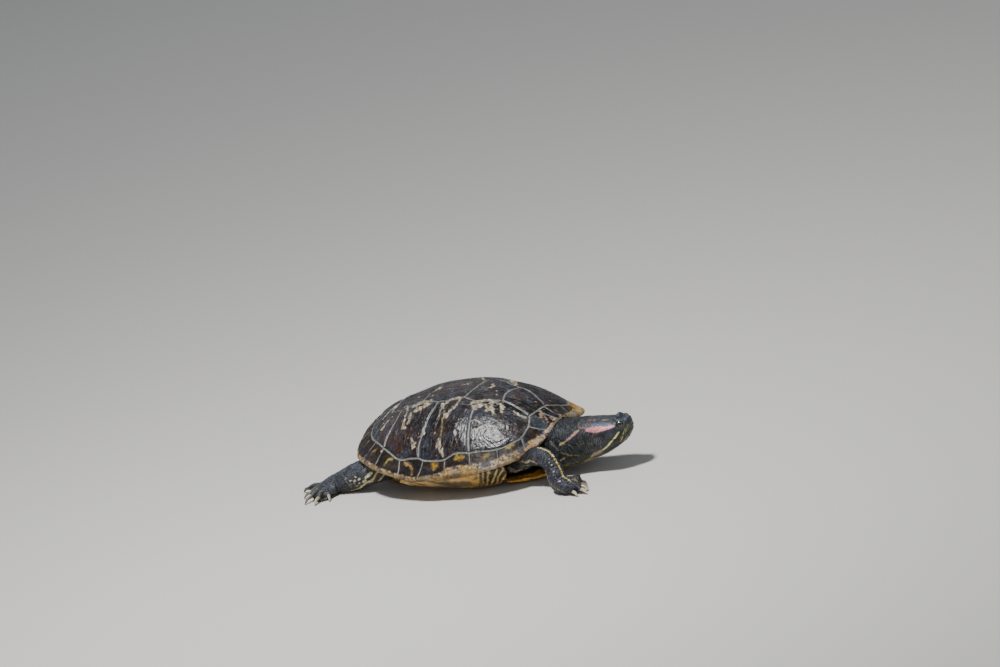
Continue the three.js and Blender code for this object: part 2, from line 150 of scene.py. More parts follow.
# ------------------------------------------------------------------ mesh helpers
def new_mesh(name, V, F, attrs=None, uv=None, material=None, smooth_on=True, nodes=()):
    """V in row metres, F an array of triangles or quads; attrs: name -> per-point array of 1 or 3 numbers"""
    V = np.asarray(V, np.float32)
    F = np.asarray(F, np.int32)
    me = bpy.data.meshes.new(name)
    k = F.shape[1]
    me.vertices.add(len(V))
    me.vertices.foreach_set("co", V.ravel())
    me.loops.add(F.size)
    me.loops.foreach_set("vertex_index", F.ravel())
    me.polygons.add(len(F))
    me.polygons.foreach_set("loop_start", np.arange(0, F.size, k, dtype=np.int32))
    me.polygons.foreach_set("use_smooth", np.full(len(F), bool(smooth_on)))
    me.update(calc_edges=True)
    me.validate()
    for n, a in (attrs or {}).items():
        a = np.asarray(a, np.float32)
        if a.ndim == 2:
            at = me.attributes.new(n, "FLOAT_COLOR", "POINT")
            at.data.foreach_set("color", np.concatenate([a, np.ones((len(a), 1), np.float32)], 1).ravel())
        else:
            at = me.attributes.new(n, "FLOAT", "POINT")
            at.data.foreach_set("value", a)
    if uv is not None:
        u = me.uv_layers.new(name="OFBake")
        u.data.foreach_set("uv", np.asarray(uv, np.float32)[F.ravel()].ravel())
    ob = bpy.data.objects.new(name, me)
    bpy.context.collection.objects.link(ob)
    if material:
        me.materials.append(material)
    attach(ob, "root")
    if nodes:
        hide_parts(*nodes)
    return ob


def compact(V, F, *arrays):
    """drops points that no face uses"""
    used = np.zeros(len(V), bool)
    used[F.ravel()] = True
    idx = np.cumsum(used) - 1
    return (V[used], idx[F]) + tuple(a[used] for a in arrays)


def grid_faces(ni, nj, wrap=False):
    i = np.arange(ni - (0 if wrap else 1))
    j = np.arange(nj - 1)
    I, J = np.meshgrid(i, j, indexing="ij")
    a = I * nj + J
    b = ((I + 1) % ni) * nj + J
    return np.stack([a, b, b + 1, a + 1], -1).reshape(-1, 4)


def disc_grid(n):
    """concentric square grid on the unit disc: angle, radius, both (2n+1, 2n+1)"""
    a = np.arange(-n, n + 1, dtype=float)
    I, J = np.meshgrid(a, a, indexing="ij")
    big = np.abs(I) >= np.abs(J)
    r = np.where(big, I, J) / n
    ph = np.where(big, np.pi / 4 * J / np.where(I == 0, 1, I), np.pi / 2 - np.pi / 4 * I / np.where(J == 0, 1, J))
    x, y = r * np.cos(ph), r * np.sin(ph)
    return np.arctan2(y, x), np.hypot(x, y)


def grid_normals(P, up=1):
    du = np.gradient(P, axis=0)
    dv = np.gradient(P, axis=1)
    n = np.cross(du, dv)
    n /= np.maximum(np.linalg.norm(n, axis=-1, keepdims=True), 1e-9)
    return n * up


def polyline_distance(X, Y, lines, reach=30.0, widths=None):
    """distance from points to polylines, and the width factor carried by the nearest line"""
    sh = X.shape
    X, Y = X.ravel(), Y.ravel()
    best = np.full(X.shape, 99.0)
    wid = np.ones(X.shape)
    for li, L in enumerate(lines):
        L = np.asarray(L, float)
        lo, hi = L.min(0) - reach, L.max(0) + reach
        m = np.nonzero((X > lo[0]) & (X < hi[0]) & (Y > lo[1]) & (Y < hi[1]))[0]
        if not len(m):
            continue
        x, y = X[m], Y[m]
        d2 = np.full(len(m), 1e9)
        for (ax, ay), (bx, by) in zip(L[:-1], L[1:]):
            vx, vy = bx - ax, by - ay
            t = np.clip(((x - ax) * vx + (y - ay) * vy) / max(vx * vx + vy * vy, 1e-9), 0, 1)
            d2 = np.minimum(d2, (x - ax - t * vx) ** 2 + (y - ay - t * vy) ** 2)
        d = np.sqrt(d2)
        c = d < best[m]
        if widths is not None:
            wid[m[c]] = widths[li]
        best[m[c]] = d[c]
    return (best.reshape(sh), wid.reshape(sh)) if widths is not None else best.reshape(sh)


def inside_polygon(X, Y, L):
    L = np.asarray(L, float)
    res = np.zeros(X.shape, bool)
    for (ax, ay), (bx, by) in zip(L, np.roll(L, -1, 0)):
        c = ((ay > Y) != (by > Y)) & (X < (bx - ax) * (Y - ay) / (by - ay + 1e-12) + ax)
        res ^= c
    return res


# ------------------------------------------------------------------ scute layout, plan millimetres
SEAMS = {
    "V1P1": [(82, -15.5), (75.5, -14.6), (69.5, -14.6), (62, -13.8), (55.5, -14)],
    "V2P1": [(55.5, -14), (49.5, -17.5), (42, -20), (36.5, -24)],
    "V2P2": [(36.5, -24), (29, -22), (17.5, -19)],
    "V3P2": [(17.5, -19), (11.5, -23), (2, -25.5), (-7, -26.5)],
    "V3P3": [(-7, -26.5), (-18, -23.5), (-27, -21.5)],
    "V4P3": [(-27, -21.5), (-38, -25), (-49.5, -27)],
    "V4P4": [(-49.5, -27), (-58, -24), (-67, -19)],
    "V5P4": [(-67, -19), (-71, -30), (-76, -45.5)],
    "P1P2": [(36.5, -24), (34.6, -32), (35, -39.5), (37, -48), (39, -56.5), (40.5, -61), (43, -66)],
    "P2P3": [(-7, -26.5), (-7.2, -33.5), (-8.5, -40), (-10, -45.5), (-10.8, -52), (-12.8, -57), (-14.2, -62), (-13.8, -66.5), (-11.5, -70)],
    "P3P4": [(-49.5, -27), (-49.8, -38), (-51.5, -46), (-54.2, -53), (-54, -61.5)],
    "L0": [(82, -15.5), (84.2, -20), (86, -26)],
    "L1": [(86, -26), (85, -38), (80, -45.5), (75.5, -50.5), (69, -55.5), (63.5, -58.5), (54.5, -61.5), (43, -66)],
    "L2": [(43, -66), (37.5, -67), (29, -68), (22, -70.3), (19, -72), (6, -72.2), (-5.5, -72), (-11.5, -70)],
    "L3": [(-11.5, -70), (-21.5, -69.6), (-32, -71.3), (-38, -69.5), (-54, -61.5)],
    "L4": [(-54, -61.5), (-61, -56.5), (-68.5, -51.5), (-76, -45.5)],
    "L5": [(-76, -45.5), (-83, -37.5), (-87.5, -29), (-91, -18), (-93, -8), (-93.3, 0)],
}
ACROSS = {
    "V1": [(82, -15.5), (83.5, -10), (84.3, -5.2), (84.8, 0), (84.6, 5.2), (84.4, 8)],
    "V12": [(55.5, -14), (51.5, -4.5), (50.5, 4.5), (53, 11.5), (54.5, 17)],
    "V23": [(17.5, -19), (18, -6.5), (18, 7), (17.5, 19)],
    "V34": [(-27, -21.5), (-26, -8), (-26, 8), (-27, 21.5)],
    "V45": [(-67, -19), (-65.5, -7), (-65.5, 7), (-67, 19)],
}
LEFT_OWN = {
    "V1P1": [(84.4, 8), (80, 11.2), (73.5, 13.8), (66, 17), (60, 18), (54.5, 17)],
    "V2P1": [(54.5, 17), (46.5, 17.5), (41, 19.5), (36.5, 24)],
    "L0": [(84.4, 8), (86.2, 16), (87.5, 26)],
    "L1": [(87.5, 26), (87.5, 38), (83, 46.5), (77, 52), (69, 56.5), (63.5, 58.8), (54.5, 61.5), (43, 66)],
}
# marginal seams: from the pleural edge out to the rim (right side), the angle of each end gives the rim position
RADIAL = [
    [(84.3, -5.2), (93, -3.8), (102.5, -3.2)],
    [(86, -26), (94.5, -21.5), (102, -17.5)],
    [(85.2, -39.5), (90, -45), (94.5, -50.5)],
    [(67.5, -56.3), (71, -63), (74.5, -69)],
    [(43, -66), (46, -72), (49, -78)],
    [(19, -72), (20, -77.5), (20.5, -83)],
    [(-5.5, -72), (-6, -78), (-6.5, -85)],
    [(-32, -71.3), (-31, -76), (-29, -82)],
    [(-54, -61.5), (-57, -69.5), (-57.5, -78)],
    [(-68.5, -51.5), (-73, -57.5), (-78, -64)],
    [(-87.5, -29), (-91.5, -38), (-94.5, -47)],
    [(-91.6, -15), (-97.5, -20), (-102.5, -24)],
    [(-93.3, 0), (-99, 0.2), (-107, 0)],
]
MIRROR = lambda L: [(x, -y) for x, y in L]


def seam_sets():
    right, left = dict(SEAMS), {k: LEFT_OWN.get(k, MIRROR(v)) for k, v in SEAMS.items()}
    rr, rl = RADIAL, [MIRROR(r) for r in RADIAL]
    rl[0] = [(84.6, 5.2), (93, 4.2), (102.5, 3.6)]
    rl[1] = [(87.5, 26), (95.5, 23), (103, 20)]
    return right, left, rr, rl[:-1]


# unrolled plan: the radius is replaced by the arc length up the dome, so distances near the steep rim come out right
_TH = np.linspace(-np.pi, np.pi, 361)
_RH = np.linspace(0, 1, 161)
_tg, _rg = np.meshgrid(_TH, _RH, indexing="ij")
_zz = dome_z(_tg, _rg)
_seg = np.hypot(np.diff(_rg * rim_r(_tg), axis=1), np.diff(_zz, axis=1))
_ARC = np.concatenate([np.zeros((361, 1)), np.cumsum(_seg, 1)], 1)


def arc(th, rho):
    a = (th + np.pi) / (2 * np.pi) * 360
    i = np.clip(np.floor(a).astype(int), 0, 359)
    fa = a - i
    b = np.clip(rho, 0, 1) * 160
    j = np.clip(np.floor(b).astype(int), 0, 159)
    fb = b - j
    v = (_ARC[i, j] * (1 - fa) * (1 - fb) + _ARC[i + 1, j] * fa * (1 - fb) + _ARC[i, j + 1] * (1 - fa) * fb + _ARC[i + 1, j + 1] * fa * fb)
    return v + np.maximum(rho - 1, 0) * rim_r(th)


def polar_of(L):
    L = np.asarray(L, float)
    th = np.arctan2(L[:, 1], L[:, 0] - SHELL_X)
    return th, np.hypot(L[:, 0] - SHELL_X, L[:, 1]) / rim_r(th)


def unroll(th, rho):
    s = arc(th, rho)
    return s * np.cos(th), s * np.sin(th)


def unroll_line(L, step=2.5):
    L = np.asarray(L, float)
    out = [L[0]]
    for a, b in zip(L[:-1], L[1:]):
        n = max(1, int(np.hypot(*(b - a)) / step))
        out += [a + (b - a) * k / n for k in range(1, n + 1)]
    # ease the corners
    out = np.array(out)
    for _ in range(2):
        out[1:-1] = 0.25 * out[:-2] + 0.5 * out[1:-1] + 0.25 * out[2:]
    th, rho = polar_of(out)
    return np.stack(unroll(th, rho), -1)


RIGHT, LEFT, RAD_R, RAD_L = seam_sets()
U = {("R", k): unroll_line(v) for k, v in RIGHT.items()}
U.update({("L", k): unroll_line(v) for k, v in LEFT.items()})
U.update({("X", k): unroll_line(v) for k, v in ACROSS.items()})
U_RAD = [unroll_line(r) for r in RAD_R + RAD_L]


def ring_of(*parts):
    pts = []
    for key, rev in parts:
        L = U[key]
        pts += list(L[::-1] if rev else L)
    return np.array(pts)


SCUTES = {}
for s in "RL":
    SCUTES["P1" + s] = ring_of(((s, "V1P1"), 0), ((s, "V2P1"), 0), ((s, "P1P2"), 0), ((s, "L1"), 1), ((s, "L0"), 1))
    SCUTES["P2" + s] = ring_of(((s, "V2P2"), 0), ((s, "V3P2"), 0), ((s, "P2P3"), 0), ((s, "L2"), 1), ((s, "P1P2"), 1))
    SCUTES["P3" + s] = ring_of(((s, "V3P3"), 0), ((s, "V4P3"), 0), ((s, "P3P4"), 0), ((s, "L3"), 1), ((s, "P2P3"), 1))
    SCUTES["P4" + s] = ring_of(((s, "V4P4"), 0), ((s, "V5P4"), 0), ((s, "L4"), 1), ((s, "P3P4"), 1))
SCUTES["V1"] = ring_of((("R", "V1P1"), 0), (("X", "V12"), 0), (("L", "V1P1"), 1), (("X", "V1"), 1))
SCUTES["V2"] = ring_of((("R", "V2P1"), 0), (("R", "V2P2"), 0), (("X", "V23"), 0), (("L", "V2P2"), 1), (("L", "V2P1"), 1), (("X", "V12"), 1))
SCUTES["V3"] = ring_of((("R", "V3P2"), 0), (("R", "V3P3"), 0), (("X", "V34"), 0), (("L", "V3P3"), 1), (("L", "V3P2"), 1), (("X", "V23"), 1))
SCUTES["V4"] = ring_of((("R", "V4P3"), 0), (("R", "V4P4"), 0), (("X", "V45"), 0), (("L", "V4P4"), 1), (("L", "V4P3"), 1), (("X", "V34"), 1))
SCUTES["V5"] = ring_of((("R", "V5P4"), 0), (("R", "L5"), 0), (("L", "L5"), 1), (("L", "V5P4"), 1), (("X", "V45"), 1))
PLATE_SEAMS = [v for k, v in U.items()]
LOW_SEAMS = [U[(s, k)] for s in "RL" for k in ("L0", "L1", "L2", "L3", "L4", "L5")] + [U[("X", "V1")]]


# ------------------------------------------------------------------ materials
def node(nt, kind, **values):
    n = nt.nodes.new(kind)
    for k, v in values.items():
        setattr(n, k, v)
    return n


def material(name, attr="Col", rough=(0.35, 0.6), mottling=(3.0, 0.25), bumps=((6.0, 0.2, 0.35), (0.9, 0.06, 0.6)),
             coat=0.0, coat_rough=0.15, specular=0.5, sss=0.0, sss_radius=(0.002, 0.001, 0.0005), tint=(0.5, 0.5, 0.5), scales=None):
    """paint carried by the points, broken up by noise in three sizes, with bump and roughness variation.
    bumps: (size mm, height mm, detail roughness); scales: (size mm, height mm)"""
    m = bpy.data.materials.new(name)
    m.use_nodes = True
    nt = m.node_tree
    nt.nodes.clear()
    L = nt.links.new
    out = node(nt, "ShaderNodeOutputMaterial")
    b = node(nt, "ShaderNodeBsdfPrincipled")
    L(b.outputs[0], out.inputs[0])
    col = node(nt, "ShaderNodeAttribute", attribute_name=attr)
    tc = node(nt, "ShaderNodeTexCoord")
    # colour: lighten and darken by noise, with a little hue drift
    n1 = node(nt, "ShaderNodeTexNoise")
    n1.inputs["Scale"].default_value = 1000.0 / mottling[0]
    n1.inputs["Detail"].default_value = 5.0
    n1.inputs["Roughness"].default_value = 0.62
    L(tc.outputs["Object"], n1.inputs["Vector"])
    mr = node(nt, "ShaderNodeMapRange")
    mr.inputs["From Min"].default_value = 0.32
    mr.inputs["From Max"].default_value = 0.68
    mr.inputs["To Min"].default_value = 1 - mottling[1]
    mr.inputs["To Max"].default_value = 1 + mottling[1]
    L(n1.outputs["Fac"], mr.inputs["Value"])
    mul = node(nt, "ShaderNodeVectorMath", operation="SCALE")
    L(col.outputs["Color"], mul.inputs[0])
    L(mr.outputs["Result"], mul.inputs["Scale"])
    n2 = node(nt, "ShaderNodeTexNoise")
    n2.inputs["Scale"].default_value = 1000.0 / (mottling[0] * 6)
    n2.inputs["Detail"].default_value = 3.0
    L(tc.outputs["Object"], n2.inputs["Vector"])
    ramp = node(nt, "ShaderNodeMapRange")
    ramp.inputs["From Min"].default_value = 0.4
    ramp.inputs["From Max"].default_value = 0.7
    ramp.inputs["To Min"].default_value = 0.0
    ramp.inputs["To Max"].default_value = 0.10
    L(n2.outputs["Fac"], ramp.inputs["Value"])
    mx = node(nt, "ShaderNodeMix", data_type="RGBA")
    L(ramp.outputs["Result"], mx.inputs["Factor"])
    L(mul.outputs[0], mx.inputs["A"])
    mx.inputs["B"].default_value = (*tint, 1)
    L(mx.outputs["Result"], b.inputs["Base Color"])
    # roughness
    rr = node(nt, "ShaderNodeMapRange")
    rr.inputs["From Min"].default_value = 0.3
    rr.inputs["From Max"].default_value = 0.7
    rr.inputs["To Min"].default_value = rough[0]
    rr.inputs["To Max"].default_value = rough[1]
    n3 = node(nt, "ShaderNodeTexNoise")
    n3.inputs["Scale"].default_value = 1000.0 / (mottling[0] * 2.3)
    n3.inputs["Detail"].default_value = 6.0
    L(tc.outputs["Object"], n3.inputs["Vector"])
    L(n3.outputs["Fac"], rr.inputs["Value"])
    ra = node(nt, "ShaderNodeAttribute", attribute_name="Rough")
    add = node(nt, "ShaderNodeMath", operation="ADD", use_clamp=True)
    L(rr.outputs["Result"], add.inputs[0])
    L(ra.outputs["Fac"], add.inputs[1])
    L(add.outputs[0], b.inputs["Roughness"])
    # bump
    last = None
    for size, height, rg in bumps:
        nb = node(nt, "ShaderNodeTexNoise")
        nb.inputs["Scale"].default_value = 1000.0 / size
        nb.inputs["Detail"].default_value = 4.0
        nb.inputs["Roughness"].default_value = rg
        L(tc.outputs["Object"], nb.inputs["Vector"])
        bp = node(nt, "ShaderNodeBump")
        bp.inputs["Strength"].default_value = 1.0
        bp.inputs["Distance"].default_value = height / 1000.0
        L(nb.outputs["Fac"], bp.inputs["Height"])
        if last:
            L(last.outputs["Normal"], bp.inputs["Normal"])
        last = bp
    if scales:
        size, height = scales
        vo = node(nt, "ShaderNodeTexVoronoi", feature="DISTANCE_TO_EDGE")
        vo.inputs["Scale"].default_value = 1000.0 / size
        vo.inputs["Randomness"].default_value = 0.75
        L(tc.outputs["Object"], vo.inputs["Vector"])
        ms = node(nt, "ShaderNodeMapRange")
        ms.interpolation_type = "SMOOTHSTEP"
        ms.inputs["From Min"].default_value = 0.0
        ms.inputs["From Max"].default_value = 0.22
        L(vo.outputs["Distance"], ms.inputs["Value"])
        sa = node(nt, "ShaderNodeAttribute", attribute_name="Scaly")
        mm = node(nt, "ShaderNodeMath", operation="MULTIPLY")
        L(ms.outputs["Result"], mm.inputs[0])
        L(sa.outputs["Fac"], mm.inputs[1])
        bp = node(nt, "ShaderNodeBump")
        bp.inputs["Strength"].default_value = 1.0
        bp.inputs["Distance"].default_value = height / 1000.0
        L(mm.outputs[0], bp.inputs["Height"])
        if last:
            L(last.outputs["Normal"], bp.inputs["Normal"])
        last = bp
    if last:
        L(last.outputs["Normal"], b.inputs["Normal"])
    b.inputs["Specular IOR Level"].default_value = specular
    b.inputs["Coat Weight"].default_value = coat
    b.inputs["Coat Roughness"].default_value = coat_rough
    if sss:
        b.inputs["Subsurface Weight"].default_value = sss
        b.inputs["Subsurface Radius"].default_value = (1.0, 0.5, 0.25)
        b.inputs["Subsurface Scale"].default_value = sss_radius[0]
    return m


MAT_SHELL = material("shell_horn", rough=(0.13, 0.32), mottling=(1.8, 0.45), bumps=((6.0, 0.62, 0.5), (1.2, 0.16, 0.62)), specular=0.21, coat=0.05, coat_rough=0.2, tint=(0.022, 0.027, 0.036))
MAT_RIM = material("marginal_horn", rough=(0.20, 0.40), mottling=(2.0, 0.45), bumps=((5.0, 0.5, 0.5), (0.9, 0.20, 0.6)), specular=0.08, coat=0.0, coat_rough=0.25, tint=(0.06, 0.048, 0.035))
MAT_SEAM = material("seam_layer", rough=(0.5, 0.75), mottling=(1.6, 0.3), bumps=((1.2, 0.12, 0.6),), tint=(0.2, 0.2, 0.18))
MAT_PLASTRON = material("plastron_horn", rough=(0.26, 0.5), mottling=(2.4, 0.35), bumps=((9.0, 0.5, 0.5), (1.0, 0.12, 0.6)), specular=0.28, coat=0.03, tint=(0.35, 0.22, 0.08))

DARK = np.array([0.0095, 0.009, 0.010])
BROWN = np.array([0.028, 0.018, 0.0145])
FILM = np.array([0.044, 0.053, 0.075])
SEAM = np.array([0.25, 0.272, 0.262])
TAN = np.array([0.40, 0.29, 0.16])
CREAM = np.array([0.60, 0.53, 0.40])
YELLOW = np.array([0.55, 0.34, 0.06])
OCHRE = np.array([0.44, 0.27, 0.09])
AMBER = np.array([0.62, 0.33, 0.05])
PINKISH = np.array([0.50, 0.33, 0.28])

# ------------------------------------------------------------------ worn and flaking patches on the dome, plan millimetres
# each: route, half width, colour mix (0 tan, 1 cream), raggedness
FLAKES = [
    ([(30, -26.5), (34, -23.5), (44.5, -18.5), (53, -19), (59.5, -21.5)], 1.5, 0.4, 1.3),
    ([(46, -18.5), (50.5, -25), (54, -30.5)], 1.0, 0.7, 0.8),
    ([(56, -19), (60, -24), (61, -27)], 1.2, 0.5, 1.2),
    ([(35, -31), (39, -27), (44, -26), (48, -29)], 2.0, 0.3, 2.2),
    ([(44, -50), (47.5, -46.5), (52, -43)], 0.45, 0.9, 0.4),
    ([(36, -45), (41, -42), (46, -43)], 0.5, 0.7, 0.8),
    ([(14.5, -20), (9.5, -22.5), (5.5, -25.5), (3.5, -30), (2, -34), (2, -40), (3.5, -46)], 1.1, 0.6, 1.0),
    ([(14.5, -20.5), (16.5, -27), (16.2, -33), (13, -38), (12, -43)], 0.9, 0.4, 1.3),
    ([(7, -40), (10, -43), (13, -41)], 1.0, 0.4, 1.6),
    ([(0, -30), (4, -36)], 1.4, 1.0, 0.9),
    ([(-33, -28), (-27, -25.5), (-17.5, -25)], 2.4, 0.45, 2.2),
    ([(-15, -29), (-22, -31), (-28, -34)], 1.6, 0.4, 2.0),
    ([(-45, -23), (-38.5, -33), (-38.5, -40), (-36.5, -48)], 0.8, 0.35, 1.2),
    ([(-33, -37), (-31, -44), (-34, -49)], 0.7, 0.5, 1.4),
    ([(-24, -57), (-20, -62), (-17, -60)], 0.9, 0.6, 1.6),
    ([(-75.5, -21), (-73.5, -14), (-66, -10)], 1.7, 0.4, 2.2),
    ([(-59, -31), (-63, -37), (-66, -40)], 1.2, 0.3, 2.0),
    ([(-24, -4), (-19.5, 0)], 1.3, 0.6, 1.6),
    ([(3, 5), (8, 8)], 1.2, 0.9, 1.4),
    ([(33, 1.5), (35, 6), (31, 9)], 0.9, 0.8, 1.3),
    ([(12, -66), (16, -69)], 0.9, 0.5, 1.4),
    ([(10, -60), (9, -63), (14, -65)], 1.0, 0.4, 1.8),
    ([(-15, -57), (-10.5, -54.5), (-11, -51)], 0.9, 0.7, 1.4),
    ([(25, -55), (28, -60)], 0.7, 0.6, 1.2),
    ([(70, -21), (76, -22), (82, -20)], 0.6, 0.9, 1.0),
    ([(50, 20), (44, 24), (38, 29)], 1.3, 0.4, 1.8),
    ([(12, 23), (5, 30), (3, 40), (6, 50)], 1.1, 0.5, 1.4),
    ([(-20, 26), (-30, 30), (-36, 38)], 1.6, 0.4, 2.0),
    ([(-60, 30), (-66, 36)], 1.3, 0.4, 1.8),
    ([(-48, 4), (-52, 9)], 1.1, 0.5, 1.6),
]
YELLOW_LINES = [([(10.8, -59), (9.8, -52.5), (7.5, -45.5)], 0.8), ([(18.5, 10.5), (20.5, 14.5)], 0.9)]


def plan_paint(X, Y):
    """flake amount, flake colour mix and yellow line amount for plan points"""
    P = np.stack([X, Y, np.zeros_like(X)], -1)
    wob = fbm(P, 4.0, 71, 3, 0.6)
    wob2 = fbm(P, 1.5, 75, 2, 0.6)
    fl = np.zeros_like(X)
    cm = np.zeros_like(X)
    grain = fbm(P, 1.15, 79, 2, 0.6)
    s1, s2, sid = cells(P, 1.9, 83)
    speck = (1 - smooth(s1 + 0.3 * wob2, 0.16, 0.34)) * (sid > 0.5)
    for k, (route, w, c, rag) in enumerate(FLAKES):
        d = polyline_distance(X, Y, [route], reach=9)
        body = 1 - smooth(d + rag * wob * 1.45 + 0.8 * rag * wob2, w * 0.75, w * 1.2 + 0.15)
        # pale torn edge round a duller middle
        rim_ = np.exp(-((d + rag * wob * 1.45 - w * 0.9) / 0.45) ** 2)
        a = body * (0.25 + 0.75 * smooth(grain + 0.55 * rim_, -0.18, 0.16))
        a = np.maximum(a, speck * (1 - smooth(d, w, w + 4.5)) * 0.8)
        cm = np.where(a > fl, c + 0.45 * rim_ - 0.1, cm)
        fl = np.maximum(fl, a)
    ye = np.zeros_like(X)
    for route, w in YELLOW_LINES:
        d = polyline_distance(X, Y, [route], reach=6)
        ye = np.maximum(ye, 1 - smooth(d + 0.5 * wob, w * 0.6, w * 1.2))
    # loose small flecks
    d1, d2, cid = cells(P, 5.5, 91)
    fleck = (1 - smooth(d1 + 0.25 * wob2, 0.07, 0.15)) * (cid > 0.66)
    return fl, cm, ye, fleck


# ------------------------------------------------------------------ carapace
def plates():
    n = 150
    th, rho = disc_grid(n)
    rho = rho * 0.985
    X = SHELL_X + rho * rim_r(th) * np.cos(th)
    Y = rho * rim_r(th) * np.sin(th)
    Z = dome_z(th, rho)
    P = np.stack([X, Y, Z], -1)
    N = grid_normals(P)
    N *= np.sign(N[n, n, 2])
    UX, UY = unroll(th, rho)
    d, _ = polyline_distance(UX, UY, PLATE_SEAMS, reach=26, widths=[1.0] * len(PLATE_SEAMS))
    fam = np.full(X.shape, -1)
    ids = np.full(X.shape, -1)
    for k, (name, poly) in enumerate(SCUTES.items()):
        m = inside_polygon(UX, UY, poly)
        ids[m] = k
        fam[m] = 0 if name[0] == "V" else (1 if name[-1] == "R" else 2)
    Q = np.stack([UX, UY, np.zeros_like(UX)], -1)
    broad = fbm(Q, 22, 5, 2)
    mid = fbm(Q, 6, 11, 3)
    fine = fbm(Q, 2.0, 17, 2)
    # streaks that run down the flank, across the growth direction
    str1 = fbm(np.stack([UX / 1.5, UY / 11.0, ids * 7.0], -1), 1.0, 23, 4, 0.62)
    str2 = fbm(np.stack([UX / 8.0, UY / 1.5, ids * 3.0], -1), 1.0, 29, 4, 0.62)
    flank = smooth(np.abs(Y), 18, 30)
    streak = str1 * flank + str2 * (1 - flank)
    # growth rings parallel to the seams
    t = d / 2.3 + 0.35 * mid + 0.15 * fine
    ring = np.abs((t % 1.0) - 0.5) * 2
    ringy = np.exp(-d / 11.0) * smooth(d, 1.0, 3.0)
    # scalloped wrinkles on the first pleural near its front lower corner
    c = np.stack([X - 60, Y + 38], -1)
    wr = np.hypot(c[..., 0], c[..., 1])
    wrk = np.sin(wr * 2.3 + 5.0 * mid + 1.5 * fine) * np.exp(-((wr - 12) / 8.0) ** 2) * smooth(X, 44, 52) * smooth(-Y, 28, 36) * np.clip(0.5 + 1.5 * broad, 0.1, 1.2)
    fl, cm, ye, fleck = plan_paint(X, Y)
    widen = 1 + 0.9 * np.exp(-(((X - 40) / 7) ** 2 + ((Y + 58) / 9) ** 2)) + 0.5 * np.exp(-(((X + 12) / 6) ** 2 + ((Y + 58) / 9) ** 2)) \
        + 1.0 * np.exp(-(((X - 84) / 5) ** 2 + ((Y + 20) / 9) ** 2))
    dw = d / widen
    h = -1.25 + 0.80 * smooth(dw, 0.0, 0.55) + 0.60 * smooth(dw, 0.35, 1.6)
    h += 0.35 * (1 - np.exp(-d / 6.0)) + 0.20 * (ring - 0.5) * ringy + 0.20 * streak * smooth(d, 1, 4) + 0.20 * wrk + 0.26 * broad + 0.12 * mid + 0.10 * fine
    h += 0.16 * fl
    keel = np.exp(-(Y / 3.4) ** 2) * (0.45 + 0.5 * smooth(-X, 10, 70)) * smooth(d, 1, 5)
    h += keel
    V = P + N * (h - 0.15)[..., None]
    # colours
    C = mix(DARK, BROWN, np.clip(0.38 + 1.5 * streak + 0.35 * broad, 0, 1))
    C = mix(C, FILM, np.clip(0.02 + 0.9 * fbm(Q, 8, 41, 4, 0.6) + 0.25 * (1 - ring) * ringy + 0.35 * np.maximum(fine, 0) + 0.5 * np.maximum(-streak, 0), 0, 0.75))
    C = mix(C, np.array([0.10, 0.095, 0.10]), smooth(fbm(Q, 2.4, 47, 3, 0.65), 0.22, 0.5) * 0.55)
    scr = np.where(np.abs(Y) > 34, fbm(np.stack([UX / 0.8, UY / 9.0, ids * 5.0], -1), 1.0, 57, 3, 0.6), fbm(np.stack([UX / 8.0, UY / 0.8, ids * 5.0], -1), 1.0, 59, 3, 0.6))
    C = mix(C, np.array([0.17, 0.18, 0.20]), smooth(scr, 0.24, 0.5) * 0.6 * np.clip(0.6 + 1.6 * mid, 0, 1))
    C = C * (1 - 0.55 * smooth(-scr, 0.15, 0.45))[..., None]
    warm = np.clip(fbm(Q, 12, 53, 2) * 1.4 - 0.1, 0, 1) * 0.5
    C = mix(C, np.array([0.060, 0.028, 0.018]), warm)
    C = C * (1 - 0.45 * (ring < 0.22) * np.clip(ringy * 2, 0, 1))[..., None]
    C = mix(C, mix(TAN, CREAM, np.clip(cm + 0.5 * fine, 0, 1)), fl * np.clip(0.75 + 0.5 * fine, 0, 1))
    C = mix(C, CREAM * 0.8, fleck * 0.7)
    C = mix(C, np.array([0.30, 0.25, 0.06]), ye * 0.8 * np.clip(0.8 + 1.2 * fine, 0.2, 1))
    pale = 1 - smooth(dw + 0.20 * fine + 0.20 * mid, 0.34, 0.98)
    C = mix(C, SEAM * (1 + 0.5 * fine)[..., None], pale * np.clip(0.9 + 0.7 * mid, 0.35, 1))
    worn = np.exp(-(((X - 83) / 6) ** 2 + ((Y + 19) / 7) ** 2)) * np.clip(0.3 + 1.4 * mid, 0, 1)
    C = mix(C, np.array([0.26, 0.24, 0.21]), worn * 0.8)
    rough = 0.25 * fl + 0.2 * pale + 0.1 * fleck + 0.15 * worn
    size = 2 * n + 1
    F = grid_faces(size, size)
    fc = fam.reshape(-1)[F]
    dF = d.reshape(-1)[F].min(1)
    uvx = (UX - UX.min()) / (UX.max() - UX.min())
    uvy = (UY - UY.min()) / (UY.max() - UY.min())
    out = []
    for k, name in enumerate(("vertebral_scutes", "pleural_scutes_right", "pleural_scutes_left")):
        keep = (fc == k).any(1)
        f = F[keep]
        v, f, c_, r_, u_ = compact(V.reshape(-1, 3), f, C.reshape(-1, 3), rough.ravel(), np.stack([uvx.ravel(), uvy.ravel()], -1))
        # rim of the piece sinks under the seam layer
        u_ = (u_ - u_.min(0)) / (u_.max(0) - u_.min(0)) * 0.996 + 0.002
        out.append(new_mesh(name, M(v), f, {"Col": c_, "Rough": r_}, uv=u_, material=MAT_SHELL))
